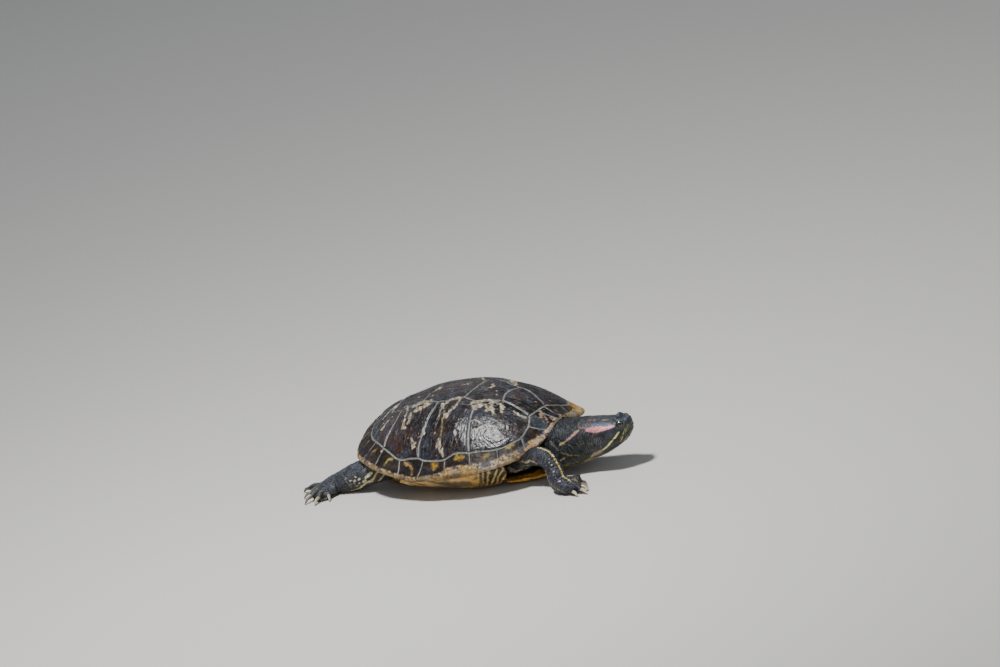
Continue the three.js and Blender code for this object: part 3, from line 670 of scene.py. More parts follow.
    # the seam layer under the plates
    s = slice(None, None, 2)
    Vb = (P - N * (1.05 + 0.0 * rho)[..., None])[s, s]
    nb = Vb.shape[0]
    Fb = grid_faces(nb, nb)
    cb = (SEAM * (1 + 0.35 * fine[s, s])[..., None] + 0.02 * mid[s, s][..., None]).reshape(-1, 3)
    cb = mix(cb, np.array([0.20, 0.22, 0.20]), np.clip(0.5 + mid[s, s].ravel(), 0, 1))
    uvb = np.stack([uvx[s, s].ravel(), uvy[s, s].ravel()], -1) * 0.996 + 0.002
    base = new_mesh("seam_layer", M(Vb.reshape(-1, 3)), Fb, {"Col": np.clip(cb, 0, 1), "Rough": np.zeros(len(cb))}, uv=uvb, material=MAT_SEAM)
    return out + [base]


# where the dark horn ends and the tan edge of the marginals begins, as a share of the rim radius, by angle on the right side
TAN_EDGE = [[0, 1.0], [8, 0.985], [16, 0.965], [24, 0.955], [32, 0.952], [40, 0.958], [46, 0.96], [53, 0.955], [61, 0.935], [71, 0.935], [77, 0.972], [85, 0.999], [97, 1.004], [110, 0.999],
            [130, 0.992], [145, 0.99], [165, 0.996], [180, 1.0]]
# marks on the marginals: plan route, half width, colour
RIM_MARKS = [
    ([(31, -71), (38, -70)], 1.1, YELLOW), ([(6.5, -74.5), (8, -76.5), (11, -75.5)], 1.3, YELLOW * 0.9), ([(8, -74), (8.5, -77.5)], 0.9, YELLOW * 0.8),
    ([(-26, -72.5), (-20, -74.2), (-15.5, -77.5), (-13.5, -83)], 0.7, OCHRE * 1.1), ([(-46.5, -75.5), (-45, -72.5), (-43.5, -70.5), (-40, -71)], 0.8, np.array([0.5, 0.42, 0.12])),
    ([(75.5, -52), (80.5, -47)], 0.9, YELLOW), ([(31, -70.5), (31.5, -68)], 0.8, OCHRE), ([(-68, -62), (-63, -60)], 0.8, OCHRE), ([(-86, -47), (-82, -45)], 0.8, OCHRE * 0.8),
    ([(-97, -30), (-93, -28)], 0.9, OCHRE * 0.8), ([(-101, -11), (-96, -9)], 0.9, OCHRE * 0.8), ([(57, -66), (61, -62)], 0.9, YELLOW * 0.7),
]


def marginals():
    nt = 1240
    th = np.linspace(-np.pi, np.pi, nt, endpoint=False)
    n_top = 44
    n_lip = 15
    n_und = 20
    R = rim_r(th)[:, None]
    Z1 = dome_z(th, np.ones_like(th))[:, None]
    lip = tab(LIP, th)[:, None]
    C, S = np.cos(th)[:, None], np.sin(th)[:, None]
    rt = np.linspace(0.77, 0.995, n_top)[None] * np.ones_like(R)
    top_r, top_z = rt * R, dome_z(np.broadcast_to(th[:, None], rt.shape), rt)
    a = np.linspace(0, 1, n_lip)[None]
    # rounded edge: out a little, then back under
    lip_r = R + 1.25 * np.sin(np.pi * np.clip(a * 0.95, 0, 1)) - 1.7 * a ** 2.2
    lip_z = Z1 - lip * (0.06 + 0.94 * smooth(a, -0.12, 1.05))
    ru = np.linspace(0.965, 0.6, n_und)[None] * np.ones_like(R)
    tt = SHELL_T + np.maximum(0, ru - 0.84) / 0.12 * (lip - SHELL_T) * 0.8
    und_r = ru * (R - 1)
    und_z = dome_z(np.broadcast_to(th[:, None], ru.shape), ru) - np.minimum(tt * (1 + 0.25 * ru), lip + 0.2 + 9 * (1 - ru))
    rr, zz = np.concatenate([top_r, lip_r, und_r], 1), np.concatenate([top_z, lip_z, und_z], 1)
    for _ in range(2):
        rr[:, n_top - 2:-1] = 0.25 * rr[:, n_top - 3:-2] + 0.5 * rr[:, n_top - 2:-1] + 0.25 * rr[:, n_top - 1:]
        zz[:, n_top - 2:-1] = 0.25 * zz[:, n_top - 3:-2] + 0.5 * zz[:, n_top - 2:-1] + 0.25 * zz[:, n_top - 1:]
    P = np.stack([SHELL_X + rr * C, rr * S, zz], -1)
    # normals from the tangents, wrapping round
    du = np.roll(P, -1, 0) - np.roll(P, 1, 0)
    dv = np.gradient(P, axis=1)
    N = np.cross(du, dv)
    N /= np.maximum(np.linalg.norm(N, axis=-1, keepdims=True), 1e-9)
    if N[0, 3, 2] < 0:
        N = -N
    m = rr.shape[1]
    col = np.arange(m)[None] * np.ones((nt, 1))
    TH2 = np.broadcast_to(th[:, None], rr.shape)
    rho = np.clip(rr / R, 0, 1.0)
    is_top = col < n_top
    UX, UY = unroll(TH2, rho)
    d_low = polyline_distance(UX, UY, LOW_SEAMS, reach=14)
    d_rad_top = polyline_distance(UX, UY, U_RAD, reach=14)
    ends = np.array([math.atan2(r[-1][1], r[-1][0] - SHELL_X) for r in RAD_R + RAD_L])
    dd = np.abs((TH2[..., None] - ends + np.pi) % (2 * np.pi) - np.pi).min(-1) * rr
    blend = smooth(col, n_top - 3, n_top + 2)
    d_rad = d_rad_top * (1 - blend) + dd * blend
    inside = np.zeros(rr.shape, bool)
    for poly in SCUTES.values():
        inside |= inside_polygon(UX, UY, poly)
    X, Y = P[..., 0], P[..., 1]
    Q = P
    mid = fbm(Q, 5, 131, 3)
    fine = fbm(Q, 1.6, 137, 2)
    broad = fbm(Q, 16, 139, 2)
    d_top = np.where(is_top, d_low, 99)
    d = np.minimum(d_top, d_rad)
    h = -0.50 * (1 - smooth(d_top, 0.0, 0.8)) - 0.70 * (1 - smooth(d_top, 0.4, 1.7)) - 0.65 * (1 - smooth(d_rad, 0.05, 1.2)) * (1 - 0.35 * blend)
    t = d / 2.0 + 0.4 * mid
    ring = np.abs((t % 1.0) - 0.5) * 2
    h += 0.14 * (ring - 0.5) * np.exp(-d / 6.0) * smooth(d, 0.8, 2.0) + 0.15 * mid + 0.08 * fine + 0.2 * broad
    # chipped, worn front edge and the notched rear rim
    deg = np.degrees(TH2)
    edge = np.exp(-((col - n_top - 3) / 4.0) ** 2)
    front = np.exp(-((np.abs(deg) - 6) / 14.0) ** 2)
    rear = smooth(np.abs(deg), 118, 145)
    h -= edge * (0.9 * front * np.clip(0.5 + 1.4 * mid + 0.8 * fine, 0, 1.6) + 1.1 * rear * np.exp(-(dd / 2.2) ** 2))
    V = P + N * h[..., None]
    # colours
    film = np.clip(0.15 + 0.5 * fbm(Q, 8, 151, 3), 0, 0.45)
    colr = mix(mix(DARK, BROWN, np.clip(0.45 + 1.1 * mid + 0.3 * broad + 0.4 * fine, 0, 1)), FILM, np.clip(film - 0.15 + 0.3 * fine, 0, 0.35))
    rho2 = rr / R + np.maximum(0, col - n_top + 1) * 0.0
    tan_at = np.interp(np.abs(deg), [a_ for a_, _ in TAN_EDGE], [b_ for _, b_ in TAN_EDGE])
    down = np.where(is_top, rho, 1.0 + np.maximum(0, col - n_top) / n_lip * 0.06)
    band = smooth(down + 0.010 * mid + 0.005 * fine - tan_at, -0.006, 0.010)
    # worn pale patches at the front right edge and amber on the left front corner
    front_worn = np.exp(-((deg + 10) / 8.0) ** 2) * smooth(down, 0.972, 0.995) * smooth(mid + 0.6 * fine, -0.25, 0.1)
    golden = np.exp(-((deg - 31) / 8.0) ** 2) * smooth(down, 0.86, 0.93)
    nuchal = np.exp(-((deg + 3) / 7.0) ** 2) * smooth(rho, 0.82, 0.88) * smooth(mid + 0.7 * fine, 0.0, 0.3)
    tan = mix(OCHRE, np.array([0.36, 0.27, 0.17]), np.clip(0.5 + 1.2 * mid, 0, 1))
    tan = mix(tan, CREAM * 0.8, np.clip(fine * 1.2 - 0.1, 0, 0.6))
    tan = mix(tan, np.array([0.10, 0.075, 0.06]), np.clip(fbm(Q, 6, 163, 3) * 2.2 - 0.3, 0, 0.8))
    tan = tan * np.clip(1 + 0.9 * fine + 0.4 * mid, 0.35, 1.5)[..., None]
    for c_, w_, lo_, col_, a_ in ((65, 6.5, 0.985, (0.055, 0.050, 0.052), 0.9), (57, 4, 0.95, (0.55, 0.33, 0.06), 0.6), (74, 5, 0.94, (0.50, 0.30, 0.07), 0.6), (47, 3, 0.97, (0.09, 0.10, 0.12), 0.7),
                                  (88, 4, 0.99, (0.08, 0.07, 0.06), 0.6), (104, 4, 0.99, (0.10, 0.08, 0.06), 0.5), (125, 5, 0.99, (0.50, 0.30, 0.08), 0.5), (150, 5, 0.99, (0.50, 0.28, 0.07), 0.6), (38, 3, 0.985, (0.45, 0.36, 0.24), 0.6)):
        g_ = np.exp(-((np.abs(deg) - c_ + 3.0 * mid) / w_) ** 2) * smooth(down + 0.02 * mid, lo_, lo_ + 0.03)
        tan = mix(tan, np.array(col_), g_ * a_ * np.clip(0.8 + 0.8 * fine, 0, 1))
    tan = tan * 0.66
    tan = mix(tan, np.array([0.40, 0.33, 0.25]), (np.abs(deg) < 50) * smooth(broad + 0.8 * fine, -0.1, 0.25) * 0.7)
    tan = mix(tan, np.array([0.30, 0.17, 0.05]), np.exp(-((deg + 24) / 5) ** 2) * np.clip(0.7 + mid, 0, 1) * 0.8)
    gaps = smooth(fbm(Q, 8, 167, 3) - 0.3 * fine, 0.12, 0.26) * (1 - smooth(down, 0.998, 1.02)) * (1 - 0.7 * smooth(deg, 5, 15) * (1 - smooth(deg, 60, 75)))
    tan = mix(tan, np.array([0.035, 0.045, 0.062]), gaps * 0.85)
    colr = mix(colr, tan, np.clip(band, 0, 1) * 0.96)
    colr = mix(colr, mix(PINKISH, CREAM, np.clip(0.4 + mid, 0, 1)), np.clip(front_worn * (0.9 + 0.9 * mid), 0, 0.9))
    colr = mix(colr, mix(PINKISH * 0.75, TAN * 0.8, np.clip(0.5 + mid, 0, 1)), np.clip(nuchal * 0.85, 0, 0.85))
    colr = mix(colr, mix(np.array([0.60, 0.33, 0.035]), TAN * 0.9, np.clip(0.05 + 1.3 * mid, 0, 1)) * np.clip(1 + 0.9 * fine, 0.4, 1.5)[..., None], np.clip(golden * (1.0 + 0.5 * mid), 0, 0.95) * (1 - 0.8 * smooth(mid - 0.4 * fine, 0.22, 0.40)))
    wob = 0.7 * fbm(Q, 3.0, 171, 2)
    for route, w, c in RIM_MARKS:
        dm = polyline_distance(X, Y, [route], reach=6)
        colr = mix(colr, c * 0.35, (1 - smooth(dm + 1.3 * wob, w * 1.2, w * 2.6)) * is_top * 0.45)
        colr = mix(colr, c * 0.62, (1 - smooth(dm + 1.6 * wob + 1.1 * fine, w * 0.2, w * 1.0)) * is_top * 0.85)
        dm = polyline_distance(X, -Y, [route], reach=6)
        colr = mix(colr, c * 0.7, (1 - smooth(dm + 1.3 * wob + 0.4 * fine, w * 0.4, w * 1.1)) * is_top * 0.8)
    # ringed first marginal on the right
    c1 = np.hypot((X - 91.5) / 1.1 + 0.9 * mid, Y + 17.0 + 1.6 * fbm(Q, 6, 173, 2))
    rings = np.abs(((c1 + 0.8 * mid) / 2.2) % 1 - 0.5) * 2
    m1 = (1 - smooth(c1, 7.0, 10.0)) * is_top
    colr = mix(colr, np.array([0.030, 0.037, 0.050]), (1 - smooth(c1 + 1.5 * mid, 5.5, 8.0)) * is_top * 0.92)
    colr = mix(colr, np.array([0.13, 0.13, 0.13]), m1 * smooth(rings + 0.8 * fine, 0.6, 1.0) * 0.5 * np.clip(0.7 + 2 * mid, 0, 1))
    # underside: yellow with a dark blotch under each marginal
    und = smooth(col, n_top + n_lip * 0.55, n_top + n_lip + 1)
    order = np.sort(ends)
    k = np.searchsorted(order, TH2)
    lo_e, hi_e = order[(k - 1) % len(order)], order[k % len(order)]
    gap_ = (hi_e - lo_e) % (2 * np.pi)
    f = ((TH2 - lo_e) % (2 * np.pi)) / np.maximum(gap_, 1e-6)
    blotch = 1 - smooth(np.hypot((f - 0.5) / 0.30, (rho - 0.93) / 0.055) + 0.5 * mid, 0.7, 1.05)
    ucol = mix(AMBER * 0.85, OCHRE, np.clip(0.5 + mid, 0, 1))
    ucol = mix(ucol, np.array([0.045, 0.035, 0.03]), blotch * 0.9)
    ucol = mix(ucol, OCHRE * 0.5, smooth(0.84 - rho, 0, 0.08) * 0.6)
    colr = mix(colr, ucol, und)
    pale_t = (1 - smooth(d_top + 0.16 * fine, 0.45, 0.95)) * np.clip(0.9 + 0.7 * mid, 0.35, 1)
    pale_r = (1 - smooth(d_rad + 0.14 * fine, 0.3, 0.75)) * (1 - 0.7 * und) * np.clip(0.8 + 0.9 * mid, 0.25, 1) * (1 - 0.5 * np.clip(band, 0, 1))
    colr = mix(colr, SEAM, np.maximum(pale_t, pale_r * 0.85))
    fl, cm, ye, fleck = plan_paint(X, Y)
    colr = mix(colr, CREAM * 0.75, fleck * is_top * 0.6)
    rough = 0.2 * np.clip(band, 0, 1) + 0.2 * np.maximum(pale_t, pale_r) + 0.1 * und
    F = grid_faces(nt, m, wrap=True)
    flat_in = inside.ravel()[F]
    flat_d = d_low.ravel()[F]
    cols = col.ravel()[F]
    keep = ~(flat_in.all(1) & (flat_d.min(1) > 1.0) & (cols.max(1) < n_top))
    F = F[keep]
    w_ = np.cumsum(np.concatenate([np.zeros((nt, 1)), np.linalg.norm(np.diff(P, axis=1), axis=-1)], 1), 1)
    w_ = w_ / w_.max()
    # four strips of the map, a quarter turn each
    u_ = (TH2 + np.pi) / (2 * np.pi) * 4
    q = np.minimum(np.floor(u_), 3)
    uv = np.stack([(u_ - q) * 0.98 + 0.01, (q + 0.04 + w_ * 0.92) / 4], -1).reshape(-1, 2)
    # faces on a strip's last column would run back across the map: give those their own end points
    fi = F // m
    v, f, c_, r_, uv_, = compact(V.reshape(-1, 3), F, colr.reshape(-1, 3), rough.ravel(), uv)
    ob = new_mesh("marginal_scutes", M(v), f, {"Col": np.clip(c_, 0, 1), "Rough": r_}, material=MAT_RIM)
    me = ob.data
    lay = me.uv_layers.new(name="OFBake")
    loops = uv_[f.ravel()].reshape(-1, 4, 2)
    span = loops[..., 0].max(1) - loops[..., 0].min(1)
    bad = span > 0.5
    fix = loops[bad]
    row = np.round((fix[..., 1].max(1) * 4) // 1)
    # put the wrapped points at the far end of the strip they came from
    i_of = fi[bad]
    first = i_of[:, :1]
    small = fix[..., 0] < 0.5
    qq = np.floor(((TH2.ravel()[F[bad][:, 0]] + np.pi) / (2 * np.pi) * 4) - 1e-9).clip(0, 3)
    ww = w_.ravel()[F[bad]]
    fix[..., 0] = np.where(small, 0.99, fix[..., 0])
    fix[..., 1] = (qq[:, None] + 0.04 + ww * 0.92) / 4
    loops[bad] = fix
    lay.data.foreach_set("uv", loops.astype(np.float32).ravel())
    return ob


SHELL = plates() + [marginals()]
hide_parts("carapace")


# ------------------------------------------------------------------ plastron
def plastron_edge(th):
    d = np.abs(np.degrees(th))
    rim = rim_r(th) - 1.9
    a = np.array([p[0] for p in PLASTRON], float)
    out = np.interp(d, a, [p[1] if p[1] else 999 for p in PLASTRON])
    lo = np.interp(d, a, [p[1] if p[1] else 0 for p in PLASTRON])
    full = (d >= 37) & (d <= 108)
    mixd = np.where(full, rim, np.where((d > 34.5) & (d < 37), 83 + (rim - 83) * (d - 34.5) / 2.5, np.where((d > 108) & (d < 116), rim + (58 - rim) * (d - 108) / 8, lo)))
    return np.minimum(rim, mixd) + 0 * out


def bridge(th):
    d = np.abs(np.degrees(th))
    return np.clip(np.minimum((d - 33.5) / 4.5, (118 - d) / 12), 0, 1)


def plastron_z(th, rho):
    b = bridge(th)
    free = np.where(np.abs(th) < np.pi / 2, FRONT_LIFT, REAR_LIFT)
    edge = b * (dome_z(th, np.ones_like(th)) - tab(LIP, th) - GAP - 0.4) + (1 - b) * free
    d = np.abs(np.degrees(th))
    fwd = np.clip((85 - d) / 42, 0, 1)
    r0 = (0.43 + 0.15 * fwd) * b + 0.6 * (1 - b)
    e = (1.9 + 0.5 * fwd) * b + 1.6 * (1 - b)
    return np.where(rho <= r0, 0, edge * np.maximum((rho - r0) / (1 - r0), 1e-9) ** e)


LOW_MARKS = [[(60, -3), (0, 3)], [(83, 0), (101, -12)]]
# seams of the plastron, right side; the midline is added
UNDER_SEAMS = [[(101, -1), (88, -9), (82, -30), (84, -46)], [(74, 0), (72, -14), (66, -34), (62, -56)], [(44, 0), (43, -20), (40, -44), (36, -62)],
               [(6, 0), (5, -24), (2, -48), (-4, -62)], [(-36, 0), (-38, -18), (-40, -36), (-42, -52)], [(-66, 0), (-68, -14), (-74, -30), (-84, -44)]]
BRIDGE_SEAM = [[(66, -58), (52, -61), (30, -64), (8, -65), (-12, -66), (-28, -62)]]


def plastron():
    n = 108
    th, rho = disc_grid(n)
    ed = plastron_edge(th)
    # ease the corners of the outline
    X = SHELL_X + rho * ed * np.cos(th)
    Y = rho * ed * np.sin(th)
    Z = plastron_z(th, rho)
    b = bridge(th)
    P = np.stack([X, Y, Z], -1)
    for _ in range(2):
        Q = P.copy()
        Q[1:-1, 1:-1] = (P[:-2, 1:-1] + P[2:, 1:-1] + P[1:-1, :-2] + P[1:-1, 2:] + 4 * P[1:-1, 1:-1]) / 8
        P = Q
    P[..., 2] = np.maximum(P[..., 2], 0.0)
    N = grid_normals(P)
    N *= -np.sign(N[n, n, 2])
    X, Y = P[..., 0], P[..., 1]
    lines = UNDER_SEAMS + [MIRROR(l) for l in UNDER_SEAMS] + [[(99, 0), (60, 1.0), (20, -0.8), (-30, 0.8), (-94, 0)]] + BRIDGE_SEAM + [MIRROR(l) for l in BRIDGE_SEAM]
    d = polyline_distance(X, Y, lines, reach=20)
    S = np.stack([X, Y, np.zeros_like(X)], -1)
    mid, fine, broad = fbm(S, 8, 201, 3), fbm(S, 2, 205, 2), fbm(S, 26, 209, 2)
    rise = smooth(P[..., 2], 0.2, 1.5)
    t = d / 2.6 + 0.4 * mid
    ring = np.abs((t % 1) - 0.5) * 2
    h = -0.7 * (1 - smooth(d, 0.1, 1.3)) + 0.14 * (ring - 0.5) * np.exp(-d / 9) * smooth(d, 1, 3) + 0.12 * mid + 0.05 * fine - 0.2
    V = P + N * h[..., None]
    V[..., 2] = np.maximum(V[..., 2], 0.02)
    # amber horn with a dark, smudged blotch on each plate
    C = mix(AMBER, np.array([0.66, 0.42, 0.11]), np.clip(0.5 + mid + 0.5 * broad, 0, 1))
    C = mix(C, OCHRE * 0.8, np.clip(0.4 * fine + 0.6 * mid - 0.1, 0, 0.6))
    spots = [(86, -6, 6, 4), (72, -24, 9, 8), (56, -20, 9, 10), (24, -24, 12, 13), (-16, -24, 13, 12), (-52, -16, 10, 8), (-78, -14, 8, 6), (30, -55, 9, 5), (0, -56, 9, 5)]
    bl = np.zeros_like(X)
    for (cx, cy, rx, ry) in spots:
        for sgn in (1, -1):
            q = np.hypot((X - cx) / rx, (Y - sgn * cy) / ry) + 0.7 * mid + 0.35 * fine
            bl = np.maximum(bl, 1 - smooth(q, 0.55, 1.0))
    C = mix(C, np.array([0.06, 0.045, 0.035]), bl * 0.85)
    # bridge: tan with a dark smudge, edge of the front lobe orange
    side = rise * b
    C = mix(C, mix(OCHRE, TAN, np.clip(0.5 + mid, 0, 1)), side * 0.55)
    sm = (1 - smooth(np.abs(P[..., 2] - 13 - 2 * mid), 3.0, 6.5)) * (1 - smooth(np.abs(X - 22 + 4 * mid), 8, 20)) * b
    C = mix(C, np.array([0.05, 0.045, 0.045]), sm * 0.8)
    # black and yellow folds at the front end of the bridge
    ang_ = np.degrees(np.abs(np.arctan2(Y, X - SHELL_X)))
    fold = smooth(ang_, 28, 31) * (1 - smooth(ang_ + 5 * mid, 47, 53)) * smooth(P[..., 2] + 2.5 * mid, 2.0, 4.5)
    strp = smooth(np.sin(ang_ * (0.25 + 0.021 * ang_) + 4.0 * mid + 0.9 * fine + 0.30 * P[..., 2]), -0.80, -0.40) * fold
    C = mix(C, np.array([0.05, 0.04, 0.03]), smooth(fbm(S, 7, 223, 3), 0.05, 0.22) * side * 0.75 * smooth(P[..., 2], 4, 8))
    lob = smooth(rho, 0.86, 0.95) * (1 - b)
    C = mix(C, np.array([0.76, 0.37, 0.045]), lob * 0.85)
    C = mix(C, np.array([0.16, 0.10, 0.05]), (1 - smooth(d, 0.25, 0.8)) * 0.7)
    C = C * (1 - 0.3 * np.clip(fbm(S, 4, 221, 3), 0, 1))[..., None]
    C = mix(C, np.array([0.64, 0.45, 0.13]), (fold - strp) * 0.75)
    C = mix(C, np.array([0.009, 0.0085, 0.009]), strp * 0.97)
    # inner face, then one band joins the two round the edge
    over = np.where(b > 0.02, np.minimum(PLASTRON_T, 0.6 + (1 - rho) * 30), np.minimum(PLASTRON_T, 2.4 + (1 - rho) * 20))
    s = slice(None, None, 2)
    T = P.copy()
    cap = dome_z(th, np.clip(rho * ed / rim_r(th), 0, 1)) - SHELL_T * 1.25 - 3.5
    T[..., 2] = np.maximum(np.minimum(P[..., 2] + over, np.where(b > 0.02, cap, 99)), P[..., 2] + 0.3)
    T[..., 0] -= b * rho * 1.2 * np.cos(th)
    T[..., 1] -= b * rho * 1.2 * np.sin(th)
    m = 2 * n + 1
    F1 = grid_faces(m, m)
    V1, T1 = V.reshape(-1, 3), T.reshape(-1, 3)
    off = len(V1)
    edge = [(0, j) for j in range(m)] + [(i, m - 1) for i in range(1, m)] + [(m - 1, j) for j in range(m - 2, -1, -1)] + [(i, 0) for i in range(m - 2, 0, -1)]
    e = np.array([i * m + j for i, j in edge])
    en = np.roll(e, -1)
    band = np.stack([e, en, en + off, e + off], -1)
    F = np.concatenate([F1, F1[:, ::-1] + off, band])
    VV = np.concatenate([V1, T1])
    top_c = mix(np.array([0.10, 0.065, 0.03]), np.array([0.66, 0.33, 0.05]), smooth(rho + 0.02 * mid, 0.83, 0.91)) * np.clip(1 + 0.8 * fine + 0.6 * mid, 0.4, 1.5)[..., None]
    CC = np.concatenate([C.reshape(-1, 3), top_c.reshape(-1, 3)])
    un = (V1[:, :2] - V1[:, :2].min(0)) / 210.0
    uv = np.concatenate([un * 0.9 + 0.01, np.stack([0.93 + 0.06 * (un[:, 0]), un[:, 1]], -1)])
    return new_mesh("plastron_scutes", M(VV), F, {"Col": np.clip(CC, 0, 1), "Rough": np.zeros(len(VV))}, uv=uv, material=MAT_PLASTRON, nodes=("plastron",))


plastron()

# ------------------------------------------------------------------ skin: tubes and sheets blended into one body
HEAD_YAW, HEAD_PITCH = math.radians(12), math.radians(8)
SNOUT = np.array([180.0, 6.0, 42.5])
headF = np.array([math.cos(HEAD_YAW) * math.cos(HEAD_PITCH), math.sin(HEAD_YAW) * math.cos(HEAD_PITCH), math.sin(HEAD_PITCH)])
headS = np.cross([0, 0, 1], headF)
headS /= np.linalg.norm(headS)
headU = np.cross(headF, headS)
EYE_R, EYE_BACK, EYE_UP, EYE_OUT = 4.3, 11.0, 3.4, 6.7


def head_at(s, y=0.0, z=0.0):
    s, y, z = np.asarray(s, float), np.asarray(y, float), np.asarray(z, float)
    return SNOUT - s[..., None] * headF + y[..., None] * headS + z[..., None] * headU


def head_co(P):
    q = P - SNOUT
    return -(q @ headF), q @ headS, q @ headU


HEAD = [[2.5, 2.9, 4.4, 3.0, 2.3], [3.6, 5.3, 5.9, 6.0, 2.5], [6.2, 7.4, 6.8, 9.0, 2.5], [9.0, 9.6, 7.6, 11.8, 2.5], [13, 11.8, 8.7, 14.3, 2.5],
        [19, 14.0, 9.7, 17.0, 2.5], [27, 15.9, 11.1, 20.0, 2.4], [35, 17.2, 13.0, 22.4, 2.3], [42, 17.5, 14.4, 23.6, 2.2], [49, 17.6, 15.9, 24.2, 2.1]]
NECK = [[68, 0, 27, 17, 14, 12, 2], [84, -4, 29, 20.5, 19, 20, 2], [98, -7, 29.5, 21, 20.4, 23.2, 2.1], [110, -8, 31, 20, 19, 25, 2.1],
        [121, -6.6, 33.2, 18.6, 17.4, 24.8, 2.1]]
NECK_HEAD = NECK + [list(head_at(s)) + [w, a, b, e] for s, w, a, b, e in HEAD[::-1]]
LEGS = {
    "front_right": [[66, -32, 24, 14, 14, 14], [82, -41, 28, 11.5, 11, 12], [95, -44.5, 30.4, 9.4, 8.6, 9.4], [107, -46, 30.4, 8.6, 9, 9], [115, -47.6, 27, 8.4, 9.2, 8.4],
                    [120.5, -50.4, 20.6, 8.6, 9.2, 8.4], [123.8, -53, 14.6, 8.8, 9.2, 8.6], [126.5, -55.2, 9.5, 9, 8.2, 8.4], [131.5, -57.2, 8.2, 9.8, 7.4, 8.8],
                    [138, -57.2, 8.2, 11, 6.4, 8.8], [142.5, -56.8, 7.4, 9.6, 5, 8], [145.6, -56.4, 6.6, 6.6, 2.8, 6]],
    "front_left": [[66, 32, 24, 14, 14, 14], [79, 42, 22, 12, 11.5, 13], [89, 50, 18.5, 9.8, 9.2, 10.5], [95.5, 53.6, 14, 8.8, 8.4, 9], [100.3, 55.5, 9.7, 8.8, 7.4, 8],
                   [105, 57.4, 8, 9.6, 6.4, 8.2], [110.5, 58.6, 7, 10.2, 5.4, 7.6], [114.2, 59.2, 6.2, 8.6, 4.2, 6.6], [117, 59.6, 5.6, 6, 2.4, 5]],
    "hind_right": [[-50, -34, 24, 16, 16, 15], [-68, -45, 22.5, 14.5, 14.5, 14.5], [-84, -52, 18.5, 13, 13, 13.5], [-100, -53.5, 14, 12.4, 12, 13],
                   [-110, -54.5, 11.2, 12.4, 10.4, 11.6], [-119, -56.1, 8.7, 12.6, 9, 9.1], [-124.5, -60.5, 7, 14, 7.4, 7.2], [-131, -68, 4.8, 14.5, 4.6, 4.8], [-136, -74, 3.6, 11, 2.6, 2.6]],
    "hind_left": [[-50, 34, 24, 16, 16, 15], [-67, 46, 22, 14.5, 14.5, 14.5], [-81, 53.5, 18, 13, 13, 13.5], [-96, 56, 13.5, 12.4, 12, 12.6],
                  [-106, 57.6, 11, 12.4, 10.4, 11.4], [-114.6, 59.5, 8.7, 12.6, 9, 9.1], [-120, 64, 7, 14, 7.4, 7.2], [-126, 71.5, 4.8, 14.5, 4.6, 4.8], [-130.5, 78, 3.6, 11, 2.6, 2.6]],
}
TAIL = [[-72, 2, 18, 12, 12, 11], [-88, 4, 14, 8.6, 8.6, 8.6], [-100, 7, 9.5, 6, 6, 6], [-111, 10, 5.4, 4.2, 4.2, 4.2], [-120, 13, 2.9, 2.7, 2.7, 2.6], [-127, 16.5, 1.6, 1.1, 1.1, 1.2]]
# toe roots [x, y, z, dx, dy], tips, radius, lift, claw length, claw radius
FEET = {
    "front_right": ((139, -55.5, 7.4, -0.6, -6.8), [(144.5, -38.5), (150.5, -46.5), (156.5, -53.5), (159.5, -61.5), (152.5, -67.5)], 4.1, 3.4, 8.2, 2.0, 1.75),
    "front_left": ((110.5, 58.6, 6.8, 0.8, -6.8), [(113, 76), (120.5, 71), (124.5, 63.5), (124, 54.5), (119.5, 44.5)], 4.1, 3.4, 8.2, 2.0, 1.75),
    "hind_right": ((-127, -65.5, 5.4, 5.5, -5.5), [(-156.5, -60), (-146.5, -75), (-137, -88), (-124.5, -90.5), (-113.5, -81)], 4.3, 1.6, 9.6, 2.2, 1.7),
    "hind_left": ((-122, 69, 5.4, 5.5, 5.5), [(-153, 66), (-141.5, 80), (-131, 91), (-119, 91.5), (-109, 81)], 4.3, 1.6, 9.6, 2.2, 1.7),
}
WEBS = {
    "hind_right": [(-120, -60), (-140, -63), (-141, -69), (-136, -75), (-130.5, -81), (-124, -82.5), (-117, -76), (-115, -68)],
    "hind_left": [(-116, 63), (-136, 68), (-136, 74), (-130, 80), (-124.5, 85), (-118.5, 84.5), (-112, 78), (-110.5, 70)],
}


def toes_of(name):
    """for each toe: flesh stations and claw stations"""
    P, tips, r_, lift, cl, taper, cr = FEET[name]
    out = []
    for k, tip in enumerate(tips):
        s = (k - 2) / 2
        b = np.array([P[0] + P[3] * s, P[1] + P[4] * s, P[2]])
        r0, claw = r_ - 0.5 * abs(s), cl - taper * abs(s)
        d = np.array([tip[0] - b[0], tip[1] - b[1]])
        ln = np.hypot(*d)
        d /= ln
        L = ln - claw
        ze = cr * 1.25 + claw * 0.34
        at = lambda t, z: [b[0] + d[0] * t, b[1] + d[1] * t, z]
        flesh = [list(b) + [r0] * 3, at(L * 0.5, (b[2] + ze) / 2 + lift) + [r0 * .92, r0 * .95, r0 * .9], at(L, ze) + [cr * 1.45, cr * 1.45, cr * 1.35]]
        horn = [at(L - 1.2, ze + 0.1) + [cr * 0.98] * 3, at(L + 0.35, ze - .1) + [cr] * 3, at(L + claw * .5, ze * .86) + [cr * .8, cr * .85, cr * .8],
                at(L + claw * .85, ze * .42) + [cr * .5, cr * .6, cr * .5], at(ln, 0.3) + [.22, .28, .28]]
        out.append((flesh, horn))
    return out


